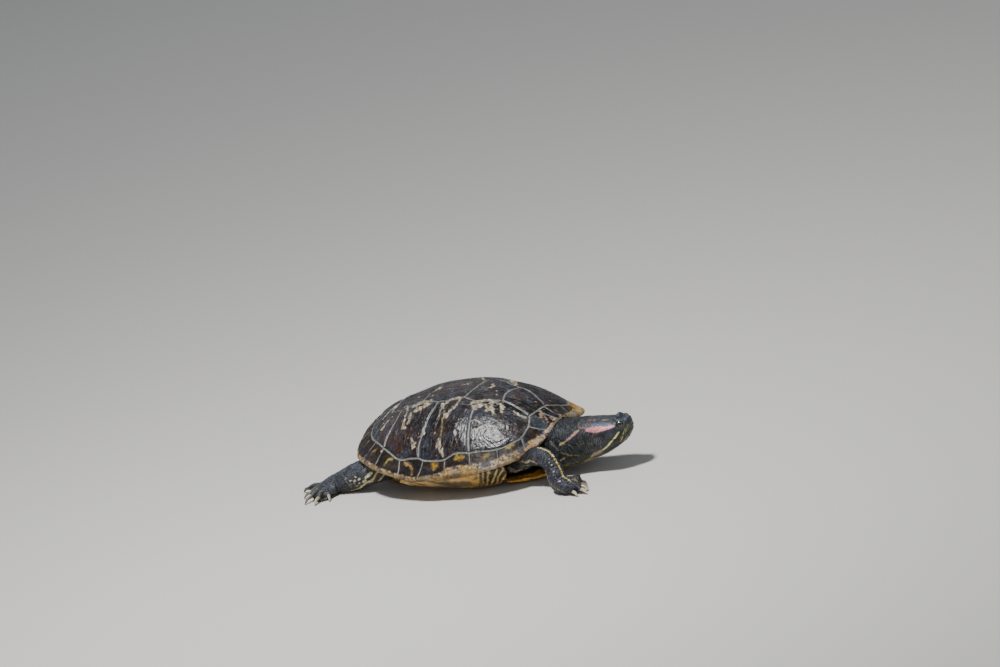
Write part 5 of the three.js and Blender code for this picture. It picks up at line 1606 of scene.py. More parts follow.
# markings, with some painted highlights and a painted crease shade among them: tube, route as (share of the length,
# degrees round), half widths, colour, how ragged, strength
MARKS = [
    ("neck", [(0.908, -170), (0.866, -160), (0.823, -155), (0.776, -148), (0.722, -141)], [0.65, 0.78, 0.85, 0.85, 0.8], (0.80, 0.80, 0.27), 0.2, 1.0),
    ("neck", [(0.722, -141), (0.700, -138), (0.654, -135), (0.607, -129)], [1.2, 2.3, 2.6, 1.6], (0.46, 0.34, 0.19), 1.6, 0.85),
    ("neck", [(0.607, -129), (0.56, -120), (0.50, -112)], [1.2, 1.3, 1.0], (0.48, 0.40, 0.18), 1.0, 0.8),
    ("neck", [(0.885, 152), (0.86, 154), (0.831, 155), (0.781, 152), (0.731, 150), (0.696, 149), (0.665, 148)], [0.9, 1.4, 1.9, 2.6, 2.9, 2.4, 1.6], (0.70, 0.225, 0.255), 0.8, 1.0),
    ("neck", [(0.885, 152), (0.86, 153), (0.83, 152), (0.78, 150)], [0.8, 1.1, 0.9, 0.5], (0.74, 0.45, 0.66), 0.8, 0.8),
    ("neck", [(0.75, 158), (0.70, 157)], [0.9, 0.9], (0.55, 0.22, 0.10), 0.6, 0.55),
    ("neck", [(0.696, 151), (0.651, 140), (0.61, 138)], [1.5, 1.2, 0.9], (0.28, 0.14, 0.16), 1.6, 0.6),
    ("neck", [(0.72, 108), (0.665, 107)], [1.4, 1.2], (0.26, 0.09, 0.07), 1.2, 0.7),
    ("neck", [(0.83, 112), (0.785, 110)], [1.0, 0.9], (0.36, 0.20, 0.09), 0.9, 0.7),
    # painted pale-blue highlight on the neck above the pink stripe
    ("neck", [(0.84, 136), (0.80, 131), (0.75, 127), (0.70, 128)], [1.2, 2.0, 2.0, 1.2], (0.060, 0.095, 0.15), 0.8, 0.7),
    ("neck", [(0.590, 146), (0.558, 151), (0.511, 161), (0.48, 166)], [0.9, 1.2, 1.3, 1.1], (0.52, 0.33, 0.27), 0.7, 0.85),
    ("neck", [(0.448, 171), (0.425, 173)], [1.1, 1.2], (0.60, 0.50, 0.22), 0.6, 0.9),
    ("neck", [(0.48, 166), (0.448, 171)], [0.6, 0.7], (0.45, 0.32, 0.2), 0.8, 0.7),
    ("neck", [(0.368, -146), (0.405, -152)], [0.9, 0.8], (0.62, 0.55, 0.30), 0.6, 0.9),
    ("neck", [(0.36, 160), (0.38, 172), (0.40, -176), (0.41, -165)], [1.0, 1.4, 1.2, 1.0], (0.20, 0.20, 0.19), 1.8, 0.6),
    ("neck", [(0.425, -163), (0.445, -155), (0.475, -152), (0.51, -146)], [0.8, 0.9, 0.8, 0.6], (0.36, 0.33, 0.11), 1.6, 0.7),
    ("neck", [(0.30, -122), (0.353, -118), (0.413, -110), (0.465, -108), (0.53, -109), (0.60, -110)], [1.2, 1.4, 1.3, 1.2, 1.1, 0.9], (0.58, 0.46, 0.10), 0.8, 0.9),
    ("neck", [(0.958, -172), (0.932, -155), (0.907, -140), (0.878, -131)], [0.4, 0.5, 0.55, 0.45], (0.50, 0.48, 0.14), 0.3, 0.85),
    ("neck", [(0.985, 177), (0.964, -166), (0.941, -145)], [0.35, 0.45, 0.4], (0.40, 0.42, 0.14), 0.3, 0.8),
    ("neck", [(0.945, -129), (0.913, -122), (0.877, -110)], [0.4, 0.55, 0.5], (0.52, 0.47, 0.16), 0.3, 0.85),
    ("neck", [(0.925, -150), (0.895, -146)], [0.4, 0.5], (0.45, 0.42, 0.13), 0.5, 0.7),
    # faint grey-blue painted highlight on the snout, between nostril and eye
    ("neck", [(0.961, 137), (0.968, 118), (0.976, 98)], [0.5, 0.8, 0.6], (0.10, 0.115, 0.14), 0.9, 0.55),
    ("neck", [(0.86, -106), (0.785, -107), (0.727, -114)], [0.6, 0.8, 0.8], (0.55, 0.45, 0.22), 0.6, 0.85),
    ("neck", [(0.93, -90), (0.86, -90), (0.80, -92)], [0.7, 0.9, 0.7], (0.55, 0.48, 0.16), 0.3, 0.9),
    ("neck", [(0.79, -96), (0.70, -99), (0.60, -100), (0.45, -98)], [0.5, 0.7, 0.8, 0.8], (0.52, 0.45, 0.14), 0.6, 0.8),
    ("neck", [(0.70, -120), (0.60, -116), (0.50, -122), (0.38, -130)], [0.4, 0.6, 0.5, 0.5], (0.42, 0.37, 0.12), 0.7, 0.6),
    ("neck", [(0.60, -172), (0.52, -170), (0.45, 176)], [0.4, 0.45, 0.4], (0.25, 0.22, 0.12), 1.0, 0.4),
    ("front_right", [(0.44, 90), (0.502, 87), (0.526, 84), (0.552, 80), (0.601, 76), (0.655, 69), (0.701, 62), (0.75, 58), (0.84, 74), (0.927, 98), (0.972, 122)],
     [0.7, 0.9, 0.95, 1.0, 1.0, 0.95, 0.85, 0.8, 0.75, 0.7, 0.5], (0.68, 0.60, 0.20), 0.25, 1.0),
    ("front_right", [(0.632, 170), (0.723, 174), (0.806, 168), (0.878, -171), (0.927, -139)], [0.5, 0.6, 0.7, 0.7, 0.6], (0.34, 0.33, 0.12), 1.0, 0.6),
    ("front_right", [(0.866, 127), (0.876, 127)], [1.1, 1.1], (0.50, 0.44, 0.34), 0.5, 0.9),
    ("front_right", [(0.97, 92), (0.995, 80)], [0.8, 0.8], (0.45, 0.46, 0.10), 0.6, 0.8),
    ("front_right", [(0.96, 112), (0.975, 95), (0.98, 60)], [0.5, 0.5, 0.4], (0.42, 0.28, 0.20), 0.5, 0.6),
    ("front_right", [(0.25, 172), (0.334, -162), (0.40, -168), (0.46, -160)], [1.4, 1.3, 1.2, 1.0], (0.50, 0.43, 0.30), 2.0, 0.8),
    ("front_right", [(0.20, -128), (0.28, -140), (0.36, -135)], [1.2, 1.3, 1.0], (0.48, 0.40, 0.24), 2.0, 0.8),
    ("front_right", [(0.30, -60), (0.45, -70), (0.60, -60), (0.75, -70)], [0.8, 0.9, 0.9, 0.7], (0.52, 0.46, 0.16), 0.6, 0.8),
    ("front_right", [(0.40, 20), (0.55, 10), (0.70, 0)], [0.6, 0.7, 0.5], (0.50, 0.44, 0.15), 0.6, 0.7),
    ("hind_right", [(0.325, 5), (0.345, 1), (0.385, -7)], [1.2, 1.7, 1.2], (0.74, 0.68, 0.42), 0.6, 0.98),
    ("hind_right", [(0.400, -19), (0.422, -24)], [1.2, 1.1], (0.72, 0.66, 0.42), 0.8, 0.95),
    ("hind_right", [(0.568, 18), (0.574, 17)], [0.8, 0.8], (0.50, 0.46, 0.34), 0.5, 0.75),
    ("hind_right", [(0.52, 1), (0.532, 0)], [0.9, 0.9], (0.68, 0.64, 0.46), 0.5, 0.95),
    ("hind_right", [(0.478, -5), (0.490, -6)], [1.0, 1.0], (0.70, 0.65, 0.44), 0.5, 0.95),
    ("hind_right", [(0.43, -4), (0.444, -6)], [1.0, 1.0], (0.70, 0.64, 0.40), 0.5, 0.95),
    ("hind_right", [(0.50, -16), (0.515, -18)], [0.7, 0.7], (0.42, 0.38, 0.26), 0.5, 0.7),
    ("hind_right", [(0.455, -22), (0.462, -23)], [0.7, 0.6], (0.66, 0.62, 0.40), 0.5, 0.9),
    ("hind_right", [(0.497, -31), (0.504, -33)], [0.6, 0.6], (0.60, 0.56, 0.34), 0.5, 0.85),
    ("hind_right", [(0.458, 8), (0.464, 9)], [0.6, 0.5], (0.62, 0.60, 0.44), 0.5, 0.85),
    # painted pale glints along a fold across the hind leg, with painted shade in its crease
    ("hind_right", [(0.60, 42), (0.585, 18), (0.574, -8), (0.57, -34)], [0.35, 0.45, 0.45, 0.35], (0.24, 0.27, 0.31), 0.5, 0.7),
    ("hind_right", [(0.612, 40), (0.598, 16), (0.588, -10), (0.584, -36)], [0.4, 0.5, 0.5, 0.4], (0.010, 0.010, 0.011), 0.4, 0.85),
    ("hind_right", [(0.548, 10), (0.541, -12), (0.54, -34)], [0.3, 0.4, 0.35], (0.22, 0.24, 0.27), 0.5, 0.6),
    ("hind_right", [(0.338, -21), (0.366, -28), (0.411, -34), (0.463, -45), (0.477, -50)], [0.8, 1.0, 0.9, 0.9, 1.0], (0.66, 0.58, 0.32), 1.4, 0.9),
    ("hind_right", [(0.477, -50), (0.524, -56), (0.545, -58)], [1.1, 1.2, 1.1], (0.58, 0.45, 0.20), 0.6, 0.95),
    ("hind_right", [(0.545, -58), (0.585, -58)], [1.2, 1.3], (0.60, 0.34, 0.27), 0.5, 0.9),
    ("hind_right", [(0.585, -58), (0.627, -58), (0.65, -60)], [1.2, 1.1, 0.9], (0.60, 0.52, 0.18), 0.5, 0.95),
    ("hind_right", [(0.65, -60), (0.70, -64), (0.74, -62)], [0.8, 0.7, 0.6], (0.40, 0.34, 0.16), 0.8, 0.8),
    ("hind_right", [(0.377, 24), (0.346, 32)], [0.6, 0.6], (0.30, 0.30, 0.27), 0.6, 0.6),
    ("hind_right", [(0.36, 40), (0.35, 55)], [0.4, 0.4], (0.26, 0.27, 0.25), 0.5, 0.5),
    ("hind_right", [(0.22, -12), (0.27, -30), (0.32, -46)], [0.7, 0.8, 0.7], (0.50, 0.44, 0.22), 0.6, 0.85),
    ("hind_right", [(0.30, -90), (0.45, -95), (0.60, -100), (0.72, -95)], [0.9, 1.0, 0.9, 0.7], (0.55, 0.46, 0.16), 0.6, 0.85),
    ("hind_right", [(0.32, -150), (0.45, -155), (0.60, -150)], [0.7, 0.8, 0.6], (0.52, 0.45, 0.15), 0.6, 0.75),
    ("hind_right", [(0.35, 165), (0.50, 160), (0.65, 165)], [0.5, 0.6, 0.5], (0.45, 0.40, 0.14), 0.6, 0.6),
    ("tail", [(0.15, 35), (0.5, 38), (0.97, 40)], [0.9, 0.8, 0.4], (0.55, 0.47, 0.13), 0.4, 0.9),
    ("tail", [(0.15, 145), (0.5, 142), (0.97, 140)], [0.9, 0.8, 0.4], (0.55, 0.47, 0.13), 0.4, 0.9),
    ("tail", [(0.15, -50), (0.5, -52), (0.9, -55)], [0.8, 0.7, 0.4], (0.58, 0.50, 0.16), 0.4, 0.9),
    ("tail", [(0.15, -130), (0.5, -128), (0.9, -125)], [0.8, 0.7, 0.4], (0.58, 0.50, 0.16), 0.4, 0.9),
]
OTHER = {"neck": "neck", "front_right": "front_left", "hind_right": "hind_left"}
# skin of the sockets: yellow and black folds
FOLD_LINES = [([(70, -50, 22), (69, -50, 15), (68, -46, 10)], 1.1), ([(63, -52, 20), (62, -50, 13), (61, -46, 9)], 1.0), ([(80, -26, 12), (72, -30, 8)], 0.9),
              ([(-62, -62, 26), (-70, -60, 20), (-78, -58, 14)], 0.9), ([(-84, -20, 16), (-82, -28, 12)], 1.0), ([(-92, -6, 24), (-90, -14, 18)], 0.9)]


def settle(P, times=4):
    for _ in range(times):
        P = P - field_grad(P) * np.clip(sample(FIELD, P), -1.5, 1.5)[:, None]
    return P


def route_on(tube, route, widths):
    t = TUBES[tube]
    R = np.array(route, float)
    R[:, 1] = np.unwrap(np.radians(R[:, 1]))
    L, ph, w = [], [], []
    for i in range(len(R) - 1):
        n = max(2, int(abs(R[i + 1, 0] - R[i, 0]) * t.len[-1] / 1.2 + abs(R[i + 1, 1] - R[i, 1]) * 8))
        f = np.arange(n) / n
        L.append(R[i, 0] + (R[i + 1, 0] - R[i, 0]) * f)
        ph.append(R[i, 1] + (R[i + 1, 1] - R[i, 1]) * f)
        w.append(widths[i] + (widths[i + 1] - widths[i]) * f)
    L = np.append(np.concatenate(L), R[-1, 0])
    ph = np.append(np.concatenate(ph), R[-1, 1])
    w = np.append(np.concatenate(w), widths[-1])
    P, _, _ = t.point(np.clip(L, 0.001, 0.999) * t.len[-1], ph)
    return settle(P), w


ROUTES = []
for tube_, route_, w_, col_, rag_, st_ in MARKS:
    ROUTES.append((*route_on(tube_, route_, w_), np.array(col_), rag_, st_))
    if tube_ in OTHER:
        ROUTES.append((*route_on(OTHER[tube_], [(a, 180 - b) for a, b in route_], w_), np.array(col_), rag_, st_ * 0.95))
for pts_, w_ in FOLD_LINES:
    for sg_ in (1, -1):
        q_ = settle(np.array(pts_, float) * [1, sg_, 1], 3)
        ROUTES.append((q_, np.full(len(q_), w_), np.array([0.55, 0.44, 0.14]), 0.6, 0.85))


def route_amount(P, N, pts, w, wob, rag):
    """how far inside a painted route each point lies, measured along the skin"""
    lo, hi = pts.min(0) - 5, pts.max(0) + 5
    m = np.nonzero(((P > lo) & (P < hi)).all(1))[0]
    out = np.zeros(len(P))
    if not len(m):
        return out
    best = np.full(len(m), -9.0)
    for i in range(len(pts) - 1):
        a, v = pts[i], pts[i + 1] - pts[i]
        q = P[m] - a
        f = np.clip((q @ v) / max(v @ v, 1e-9), 0, 1)
        r = q - f[:, None] * v
        across = (r * N[m]).sum(1)
        d = np.sqrt(np.maximum((r ** 2).sum(1) - across ** 2, 0)) + np.maximum(np.abs(across) - 2.5, 0)
        ww = w[i] + (w[i + 1] - w[i]) * f
        best = np.maximum(best, (ww - d - rag * wob[m]) / np.maximum(ww * 0.35, 0.3))
    out[m] = smooth(best, -0.35, 0.75)
    return out


def skin_paint(P, N, height=None):
    """colour, roughness offset and how scaly, for points on or just over the skin"""
    mid, fine, broad = fbm(P, 3.5, 401, 3), fbm(P, 1.1, 405, 2), fbm(P, 14, 409, 2)
    s, y, z = head_co(P)
    head = 1 - smooth(s, 40, 54)
    C = mix(SK_DARK, SK_GREY, np.clip(0.34 + 0.9 * mid + 0.35 * broad + 0.3 * fine, 0, 1))
    # painted bluish sheen on the upper faces, browner on the faces turned down
    C = mix(C, np.array([0.040, 0.052, 0.075]), np.clip(0.35 * N[:, 2] + 0.4 * broad, 0, 0.5))
    C = mix(C, np.array([0.050, 0.040, 0.026]), np.clip(-0.4 * N[:, 2] + 0.3 * mid, 0, 0.5))
    # olive mottling on the sides of the jaw and neck
    C = mix(C, np.array([0.085, 0.080, 0.040]), np.clip(fbm(P, 6, 421, 3) * 1.3 - 0.15, 0, 0.5) * (0.5 + 0.5 * (z < 0)))
    d1, d2, cid = cells(P, 2.6, 431)
    C = mix(C, np.array([0.15, 0.14, 0.075]), (cid > 0.8) * (1 - smooth(d1, 0.2, 0.42)) * 0.45 * (1 - 0.7 * head))
    wob = 0.8 * fbm(P, 2.2, 441, 3)
    rough = np.zeros(len(P))
    for pts, w, col, rag, st in ROUTES:
        a = route_amount(P, N, pts, w, wob, rag)
        if a.any():
            c = col * (1 + 0.30 * fine + 0.15 * mid)[:, None]
            C = mix(C, c, np.clip(a * st * (1 - 0.25 * np.clip(mid * rag, 0, 1)), 0, 1))
            rough = np.maximum(rough, 0.08 * a)
    # lids and the line of the mouth: painted glints on the lid rim and the fold outside it, and painted shade, near
    # black, on the skin inside the opening
    for k in (0, 1):
        a, b, o = eye_plane(P, k)
        e = np.sqrt((a / OPEN_A) ** 2 + (b / OPEN_B) ** 2)
        near = (o > 1.0)
        C = mix(C, np.array([0.115, 0.135, 0.155]), near * np.exp(-((e - 1.22) / 0.10) ** 2) * 0.7)
        C = mix(C, np.array([0.008, 0.008, 0.009]), near * (1 - smooth(e, 0.98, 1.10)))
        C = mix(C, np.array([0.10, 0.115, 0.12]), near * np.exp(-((e - 1.62) / 0.10) ** 2) * 0.4)
    dm = seg3(np.stack([s, z, 0 * s], -1), np.column_stack([MOUTH, np.zeros(len(MOUTH))]))
    C = mix(C, np.array([0.006, 0.006, 0.006]), np.exp(-(dm / 0.45) ** 2) * (1 - smooth(s, 22, 25)) * 0.8)
    # horn of the beak a touch paler, nostrils painted near black as shade in their shallow pits
    beak = (1 - smooth(s, 4.8, 8.0)) * smooth(z, -4.2, -3.2) * (1 - smooth(z, 0.5, 2.0))
    C = mix(C, np.array([0.085, 0.080, 0.060]), beak * 0.6)
    for sg in (-1, 1):
        dn = np.sqrt((s - 3.5) ** 2 + (y - sg * 1.9) ** 2 + (z - 2.6) ** 2)
        C = mix(C, np.array([0.004, 0.004, 0.004]), 1 - smooth(dn, 0.5, 1.0))
    # painted highlights along the ridges of the wrinkles behind the jaw
    m4 = fbm(P, 4.0, 305, 3)
    back = smooth(s, 24, 31) * (1 - smooth(s, 54, 64)) * (np.abs(y) > 3)
    rr = np.hypot(s - 22, (z + 13) * 0.85)
    arcs = np.sin(rr * 3.1 + 2.2 * m4) * 0.5 + 0.5
    C = mix(C, np.array([0.17, 0.17, 0.20]), back * smooth(arcs, 0.72, 0.98) * smooth(14 - np.abs(rr - 18), 0, 6) * np.clip(0.45 + 1.2 * mid, 0.05, 0.8))
    # painted shade on the skin of the sockets under the rim, and cream mottling behind the foreleg
    rim_ = np.hypot(P[:, 0] - SHELL_X, P[:, 1]) / rim_r(np.arctan2(P[:, 1], P[:, 0] - SHELL_X))
    pock = smooth(P[:, 0], 60, 66) * (1 - smooth(P[:, 0], 88, 96)) * smooth(np.abs(P[:, 1]), 26, 34) * (1 - smooth(P[:, 2], 17, 24))
    spots = smooth(fbm(P, 3.8, 451, 3, 0.6) + 0.35 * fine, 0.02, 0.15)
    C = mix(C, mix(SK_CREAM * 0.85, np.array([0.50, 0.36, 0.34]), np.clip(0.5 + 2 * broad, 0, 1)), pock * spots * 0.95)
    C = mix(C, np.array([0.008, 0.008, 0.008]), pock * smooth(fbm(P, 3.8, 451, 3, 0.6), -0.02, -0.2) * 0.7)
    # painted shade: the skin at the front, under the rim, darkened
    C = C * (1 - 0.5 * (1 - smooth(rim_, 0.98, 1.08)) * smooth(P[:, 2], 14, 22) * (P[:, 0] > 0) * (s > 55))[:, None]
    # painted highlight along the top of each hind toe, painted shade at its sides where the web folds between
    for name in ("hind_right", "hind_left"):
        for t in TOES[name]:
            m = np.nonzero(((P > t.lo - 2) & (P < t.hi + 2)).all(1))[0]
            if not len(m):
                continue
            L, yy, zz, ax, r, _ = t.coords(P[m])
            w = np.exp(-(np.maximum(np.hypot(yy, zz) - r.max(1), 0) / 0.8) ** 2) * smooth(L, 4, 9)
            C[m] = mix(C[m], np.array([0.27, 0.27, 0.21]), w * np.exp(-((yy - 0.8 + 0.5 * wob[m]) / 0.75) ** 2) * smooth(zz, 0, 1.5) * 0.75)
            C[m] = C[m] * (1 - 0.5 * w * np.exp(-((np.abs(yy) - r[:, 0] * 0.95) / 0.8) ** 2))[:, None]
    for name in ("front_right", "front_left"):
        t = TUBES[name]
        m = np.nonzero(((P > t.lo - 4) & (P < t.hi + 4)).all(1))[0]
        L, yy, zz, ax, r, _ = t.coords(P[m])
        w = np.exp(-(np.maximum(np.hypot(yy, zz) - r.max(1), 0) / 3) ** 2)
        # painted shade over the upper arm, which lies under the rim
        C[m] = C[m] * (1 - 0.62 * w * (1 - smooth(L / t.len[-1], 0.33, 0.45)) * (C[m].mean(1) < 0.2))[:, None]
        # painted violet sheen on the forearm
        C[m] = mix(C[m], np.array([0.062, 0.058, 0.098]), w * smooth(L / t.len[-1], 0.4, 0.5) * np.clip(0.3 + 0.9 * mid[m] + 0.4 * fine[m], 0, 0.65) * (C[m].mean(1) < 0.12))
    for name in ("hind_right", "hind_left"):
        t = TUBES[name]
        m = np.nonzero(((P > t.lo - 4) & (P < t.hi + 4)).all(1))[0]
        L, yy, zz, ax, r, _ = t.coords(P[m])
        w = np.exp(-(np.maximum(np.hypot(yy, zz) - r.max(1), 0) / 3) ** 2) * smooth(zz, -4, 6)
        # painted bluish-grey sheen on the upper side of the hind legs
        C[m] = mix(C[m], np.array([0.075, 0.086, 0.110]), w * np.clip(0.35 + 0.7 * mid[m] + 0.4 * fine[m], 0, 0.7) * (C[m].mean(1) < 0.12))
    # painted shade in the creases and painted light on the raised folds
    if height is not None:
        C = C * (1 - 0.55 * np.clip(-height * 1.6, 0, 1))[:, None] * (1 + 0.25 * np.clip(height * 2.5, 0, 1))[:, None]
    return np.clip(C, 0, 1), rough, np.ones(len(P)) * (1 - 0.85 * head)


MAT_SKIN = material("skin", rough=(0.26, 0.48), mottling=(1.6, 0.32), bumps=((2.4, 0.30, 0.6), (0.7, 0.08, 0.6)), specular=0.40, tint=(0.032, 0.036, 0.044), scales=(1.1, 0.22), sss=0.03)
_c, _r, _s = skin_paint(BODY_V, BODY_N, BODY_H)
SKIN = new_mesh("skin", M(BODY_V), BODY_T, {"Col": _c, "Rough": _r, "Scaly": _s}, material=MAT_SKIN,
                nodes=("trunk", "neck", "head", "tail", "front_right_leg", "front_right_foot", "front_left_leg", "front_left_foot",
                       "hind_right_leg", "hind_right_foot", "hind_left_leg", "hind_left_foot"))

# ------------------------------------------------------------------ coat: raised scales laid over the skin, following its lie
MAT_SCALE = material("scales", rough=(0.25, 0.45), mottling=(1.1, 0.28), bumps=((0.8, 0.06, 0.6),), specular=0.42, tint=(0.035, 0.04, 0.048))


def lay_scales(name, centres):
    """centres: list of (points, outward, along, half length, half width, height, uv); one closed dome for each"""
    P = np.concatenate([c[0] for c in centres])
    N = np.concatenate([c[1] for c in centres])
    A = np.concatenate([c[2] for c in centres])
    la = np.concatenate([c[3] for c in centres])
    lb = np.concatenate([c[4] for c in centres])
    hh = np.concatenate([c[5] for c in centres])
    UV = np.concatenate([c[6] for c in centres])
    A = A - N * (A * N).sum(1, keepdims=True)
    A /= np.maximum(np.linalg.norm(A, axis=1, keepdims=True), 1e-9)
    B = np.cross(N, A)
    rel = relief(P, N)
    P = P + N * rel[:, None]
    n = len(P)
    k = 6
    q = np.arange(k) * 2 * np.pi / k + np.pi / 6
    rng = np.random.default_rng(7)
    rings = []
    cols = []
    uvs = []
    # centre on top, inner ring, outer ring sunk in the skin, centre below; the far edge stands higher than the near one
    top = P + N * hh[:, None] + A * (la * 0.12)[:, None]
    inner = [P + A * (la * 0.62 * np.cos(t))[:, None] + B * (lb * 0.62 * np.sin(t))[:, None] + N * (hh * (0.72 + 0.38 * np.cos(t)))[:, None] for t in q]
    outer = [P + A * (la * (1.0 + 0.06 * rng.standard_normal(n)) * np.cos(t))[:, None] + B * (lb * (1.0 + 0.06 * rng.standard_normal(n)) * np.sin(t))[:, None]
             + N * (hh * (0.05 + 0.42 * np.cos(t)) - np.minimum(0.14, 0.04 + 0.3 * hh))[:, None] for t in q]
    base = P - N * (0.35 + 0.2 * hh)[:, None]
    V = np.stack([top] + inner + outer + [base], 1)
    V[..., 2] = np.maximum(V[..., 2], 0.03)
    # painted light on each scale: lighter at its top, darker towards its sunk rim and base, more so for the taller
    # scales
    soft = np.clip((hh - 0.10) / 0.15, 0, 1)[:, None]
    light = np.array([1.08] + [1.02] * k + [0.82] * k + [0.6])[None] * (1 - soft) + np.array([1.18] + [1.08] * k + [0.62] * k + [0.4])[None] * soft
    m = V.shape[1]
    C, R, S = skin_paint(V.reshape(-1, 3), np.repeat(N, m, 0))
    CC = np.clip(C.reshape(n, m, 3) * light[:, :, None] * (1 + 0.16 * rng.standard_normal(n))[:, None, None], 0, 1)
    uo = np.array([(0, 0)] + [(0.6 * math.cos(t), 0.6 * math.sin(t)) for t in q] + [(math.cos(t), math.sin(t)) for t in q] + [(0, 0)]) * 0.0015
    UU_ = np.clip(UV[:, None, :] + uo[None], 0, 1)
    m = V.shape[1]
    F = []
    for i in range(k):
        j = (i + 1) % k
        F.append((0, 1 + i, 1 + j))
        F.append((1 + i, 1 + k + i, 1 + k + j))
        F.append((1 + i, 1 + k + j, 1 + j))
        F.append((m - 1, 1 + k + j, 1 + k + i))
    F = np.array(F)
    FF = (F[None] + (np.arange(n) * m)[:, None, None]).reshape(-1, 3)
    return new_mesh(name, M(V.reshape(-1, 3)), FF, {"Col": CC.reshape(-1, 3), "Rough": R}, uv=UU_.reshape(-1, 2), material=MAT_SCALE)


def tube_scales(tube, L0, L1, size, height, seed, uvbox, stretch=1.12, keep=None, slow=0.0):
    """rows of scales round a tube, sizes in millimetres, in the box (u0, v0, u1, v1) of the map"""
    t = TUBES[tube] if isinstance(tube, str) else tube
    rng = np.random.default_rng(seed)
    Ls, phs, sz = [], [], []
    L = L0 * t.len[-1]
    row = 0
    while L < L1 * t.len[-1]:
        i = min(np.searchsorted(t.len, L), len(t.len) - 1)
        r = t.r[i]
        per = 2 * np.pi * math.sqrt((r[0] ** 2 + ((r[1] + r[2]) / 2) ** 2) / 2)
        here = size * (1 + slow * (L / t.len[-1] - L0))
        n = max(5, int(round(per / here)))
        ph = (np.arange(n) + 0.5 * (row % 2)) / n * 2 * np.pi + rng.normal(0, 0.10, n) * 2 * np.pi / n
        Ls.append(L + rng.normal(0, 0.10, n) * here)
        phs.append(ph)
        sz.append(np.full(n, here) * (1 + rng.normal(0, 0.08, n)))
        L += here * 0.86 * stretch
        row += 1
    Ls, phs, sz = np.concatenate(Ls), np.concatenate(phs), np.concatenate(sz)
    P, n0, t0 = t.point(np.clip(Ls, 0.01, t.len[-1] - 0.01), phs)
    Q = settle(P, 3)
    N = field_grad(Q)
    ok = (np.abs(sample(FIELD, Q)) < 0.25) & ((N * n0).sum(1) > 0.35) & (np.linalg.norm(Q - P, axis=1) < 4.0) & (Q[:, 2] > 0.9) & ~hidden_points(Q)
    if keep is not None:
        ok &= keep(Q, Ls / t.len[-1], phs)
    u = uvbox[0] + (uvbox[2] - uvbox[0]) * Ls / t.len[-1]
    v = uvbox[1] + (uvbox[3] - uvbox[1]) * ((phs / (2 * np.pi)) % 1.0)
    return (Q[ok], N[ok], t0[ok], sz[ok] * 0.60 * stretch, sz[ok] * 0.56, sz[ok] * height, np.stack([u, v], -1)[ok])


def toe_scales(name, uv0):
    """broad plates across the top of each toe"""
    out = []
    for k, t in enumerate(TOES[name]):
        L = np.arange(1.2, t.len[-1] - 0.3, 1.45)
        for col, ph in ((0, 90), (1, 42), (2, 138)):
            Lc = L + (0.7 if col else 0.0)
            Lc = Lc[Lc < t.len[-1] - 0.2]
            P, n0, t0 = t.point(Lc, np.full(len(Lc), math.radians(ph)))
            Q = settle(P, 3)
            N = field_grad(Q)
            ok = (np.abs(sample(FIELD, Q)) < 0.25) & ((N * n0).sum(1) > 0.3) & (np.linalg.norm(Q - P, axis=1) < 2.2) & (Q[:, 2] > 0.8)
            n = int(ok.sum())
            if n:
                wide = 1.75 if col == 0 else 1.15
                r = 1.0
                u = uv0[0] + 0.18 * Lc[ok] / t.len[-1]
                v = np.full(n, uv0[1] + 0.012 * (k * 3 + col))
                out.append((Q[ok], N[ok], t0[ok], np.full(n, 0.98), np.full(n, wide * r), np.full(n, 0.36), np.stack([u, v], -1)))
    return out


COARSE = 1.0
for leg, sd in (("hind_right", 11), ("hind_left", 12)):
    parts_ = [tube_scales(leg, 0.16, 0.97, 1.95 * COARSE, 0.13, sd, (0.02, 0.02, 0.78, 0.98))] + toe_scales(leg, (0.80, 0.05))
    lay_scales(leg + "_scales", parts_)
for leg, sd in (("front_right", 21), ("front_left", 22)):
    parts_ = [tube_scales(leg, 0.18, 0.97, 1.75 * COARSE, 0.14, sd, (0.02, 0.02, 0.68, 0.98))] + toe_scales(leg, (0.80, 0.05))
    # large overlapping plates down the front of the forearm
    t = TUBES[leg]
    flip = leg == "front_left"
    Ls_, ph_ = [], []
    for r_, lf in enumerate(np.arange(0.58, 0.93, 3.1 / t.len[-1])):
        for c_ in range(3):
            a_ = 78 + 34 * c_ + 12 * (r_ % 2)
            Ls_.append(lf * t.len[-1])
            ph_.append(math.radians(180 - a_ if flip else a_))
    P, n0, t0 = t.point(np.array(Ls_), np.array(ph_))
    Q = settle(P, 3)
    N = field_grad(Q)
    ok = ((N * n0).sum(1) > 0.3) & (Q[:, 2] > 2)
    n = int(ok.sum())
    uv_ = np.stack([0.70 + 0.09 * np.array(Ls_)[ok] / t.len[-1], 0.1 + 0.8 * (np.array(ph_)[ok] / (2 * np.pi) % 1)], -1)
    parts_.append((Q[ok] + N[ok] * 0.12, N[ok], t0[ok], np.full(n, 1.9), np.full(n, 2.3), np.full(n, 0.30), uv_))
    lay_scales(leg + "_scales", parts_)
lay_scales("tail_scales", [tube_scales("tail", 0.18, 0.97, 1.7 * COARSE, 0.16, 31, (0.02, 0.02, 0.98, 0.98), slow=-0.5)])
lay_scales("neck_scales", [tube_scales("neck", 0.12, 0.64, 1.42 * COARSE, 0.055, 41, (0.02, 0.02, 0.98, 0.98), stretch=1.0, slow=-0.35,
                                       keep=lambda Q, l, p: (head_co(Q)[0] > 42) | ((head_co(Q)[2] < -6) & (head_co(Q)[0] > 30)))])

# ------------------------------------------------------------------ eyes
MAT_EYE = material("eye", rough=(0.05, 0.12), mottling=(0.7, 0.25), bumps=((0.6, 0.01, 0.5),), specular=0.45, coat=0.6, coat_rough=0.02, tint=(0.05, 0.05, 0.03))


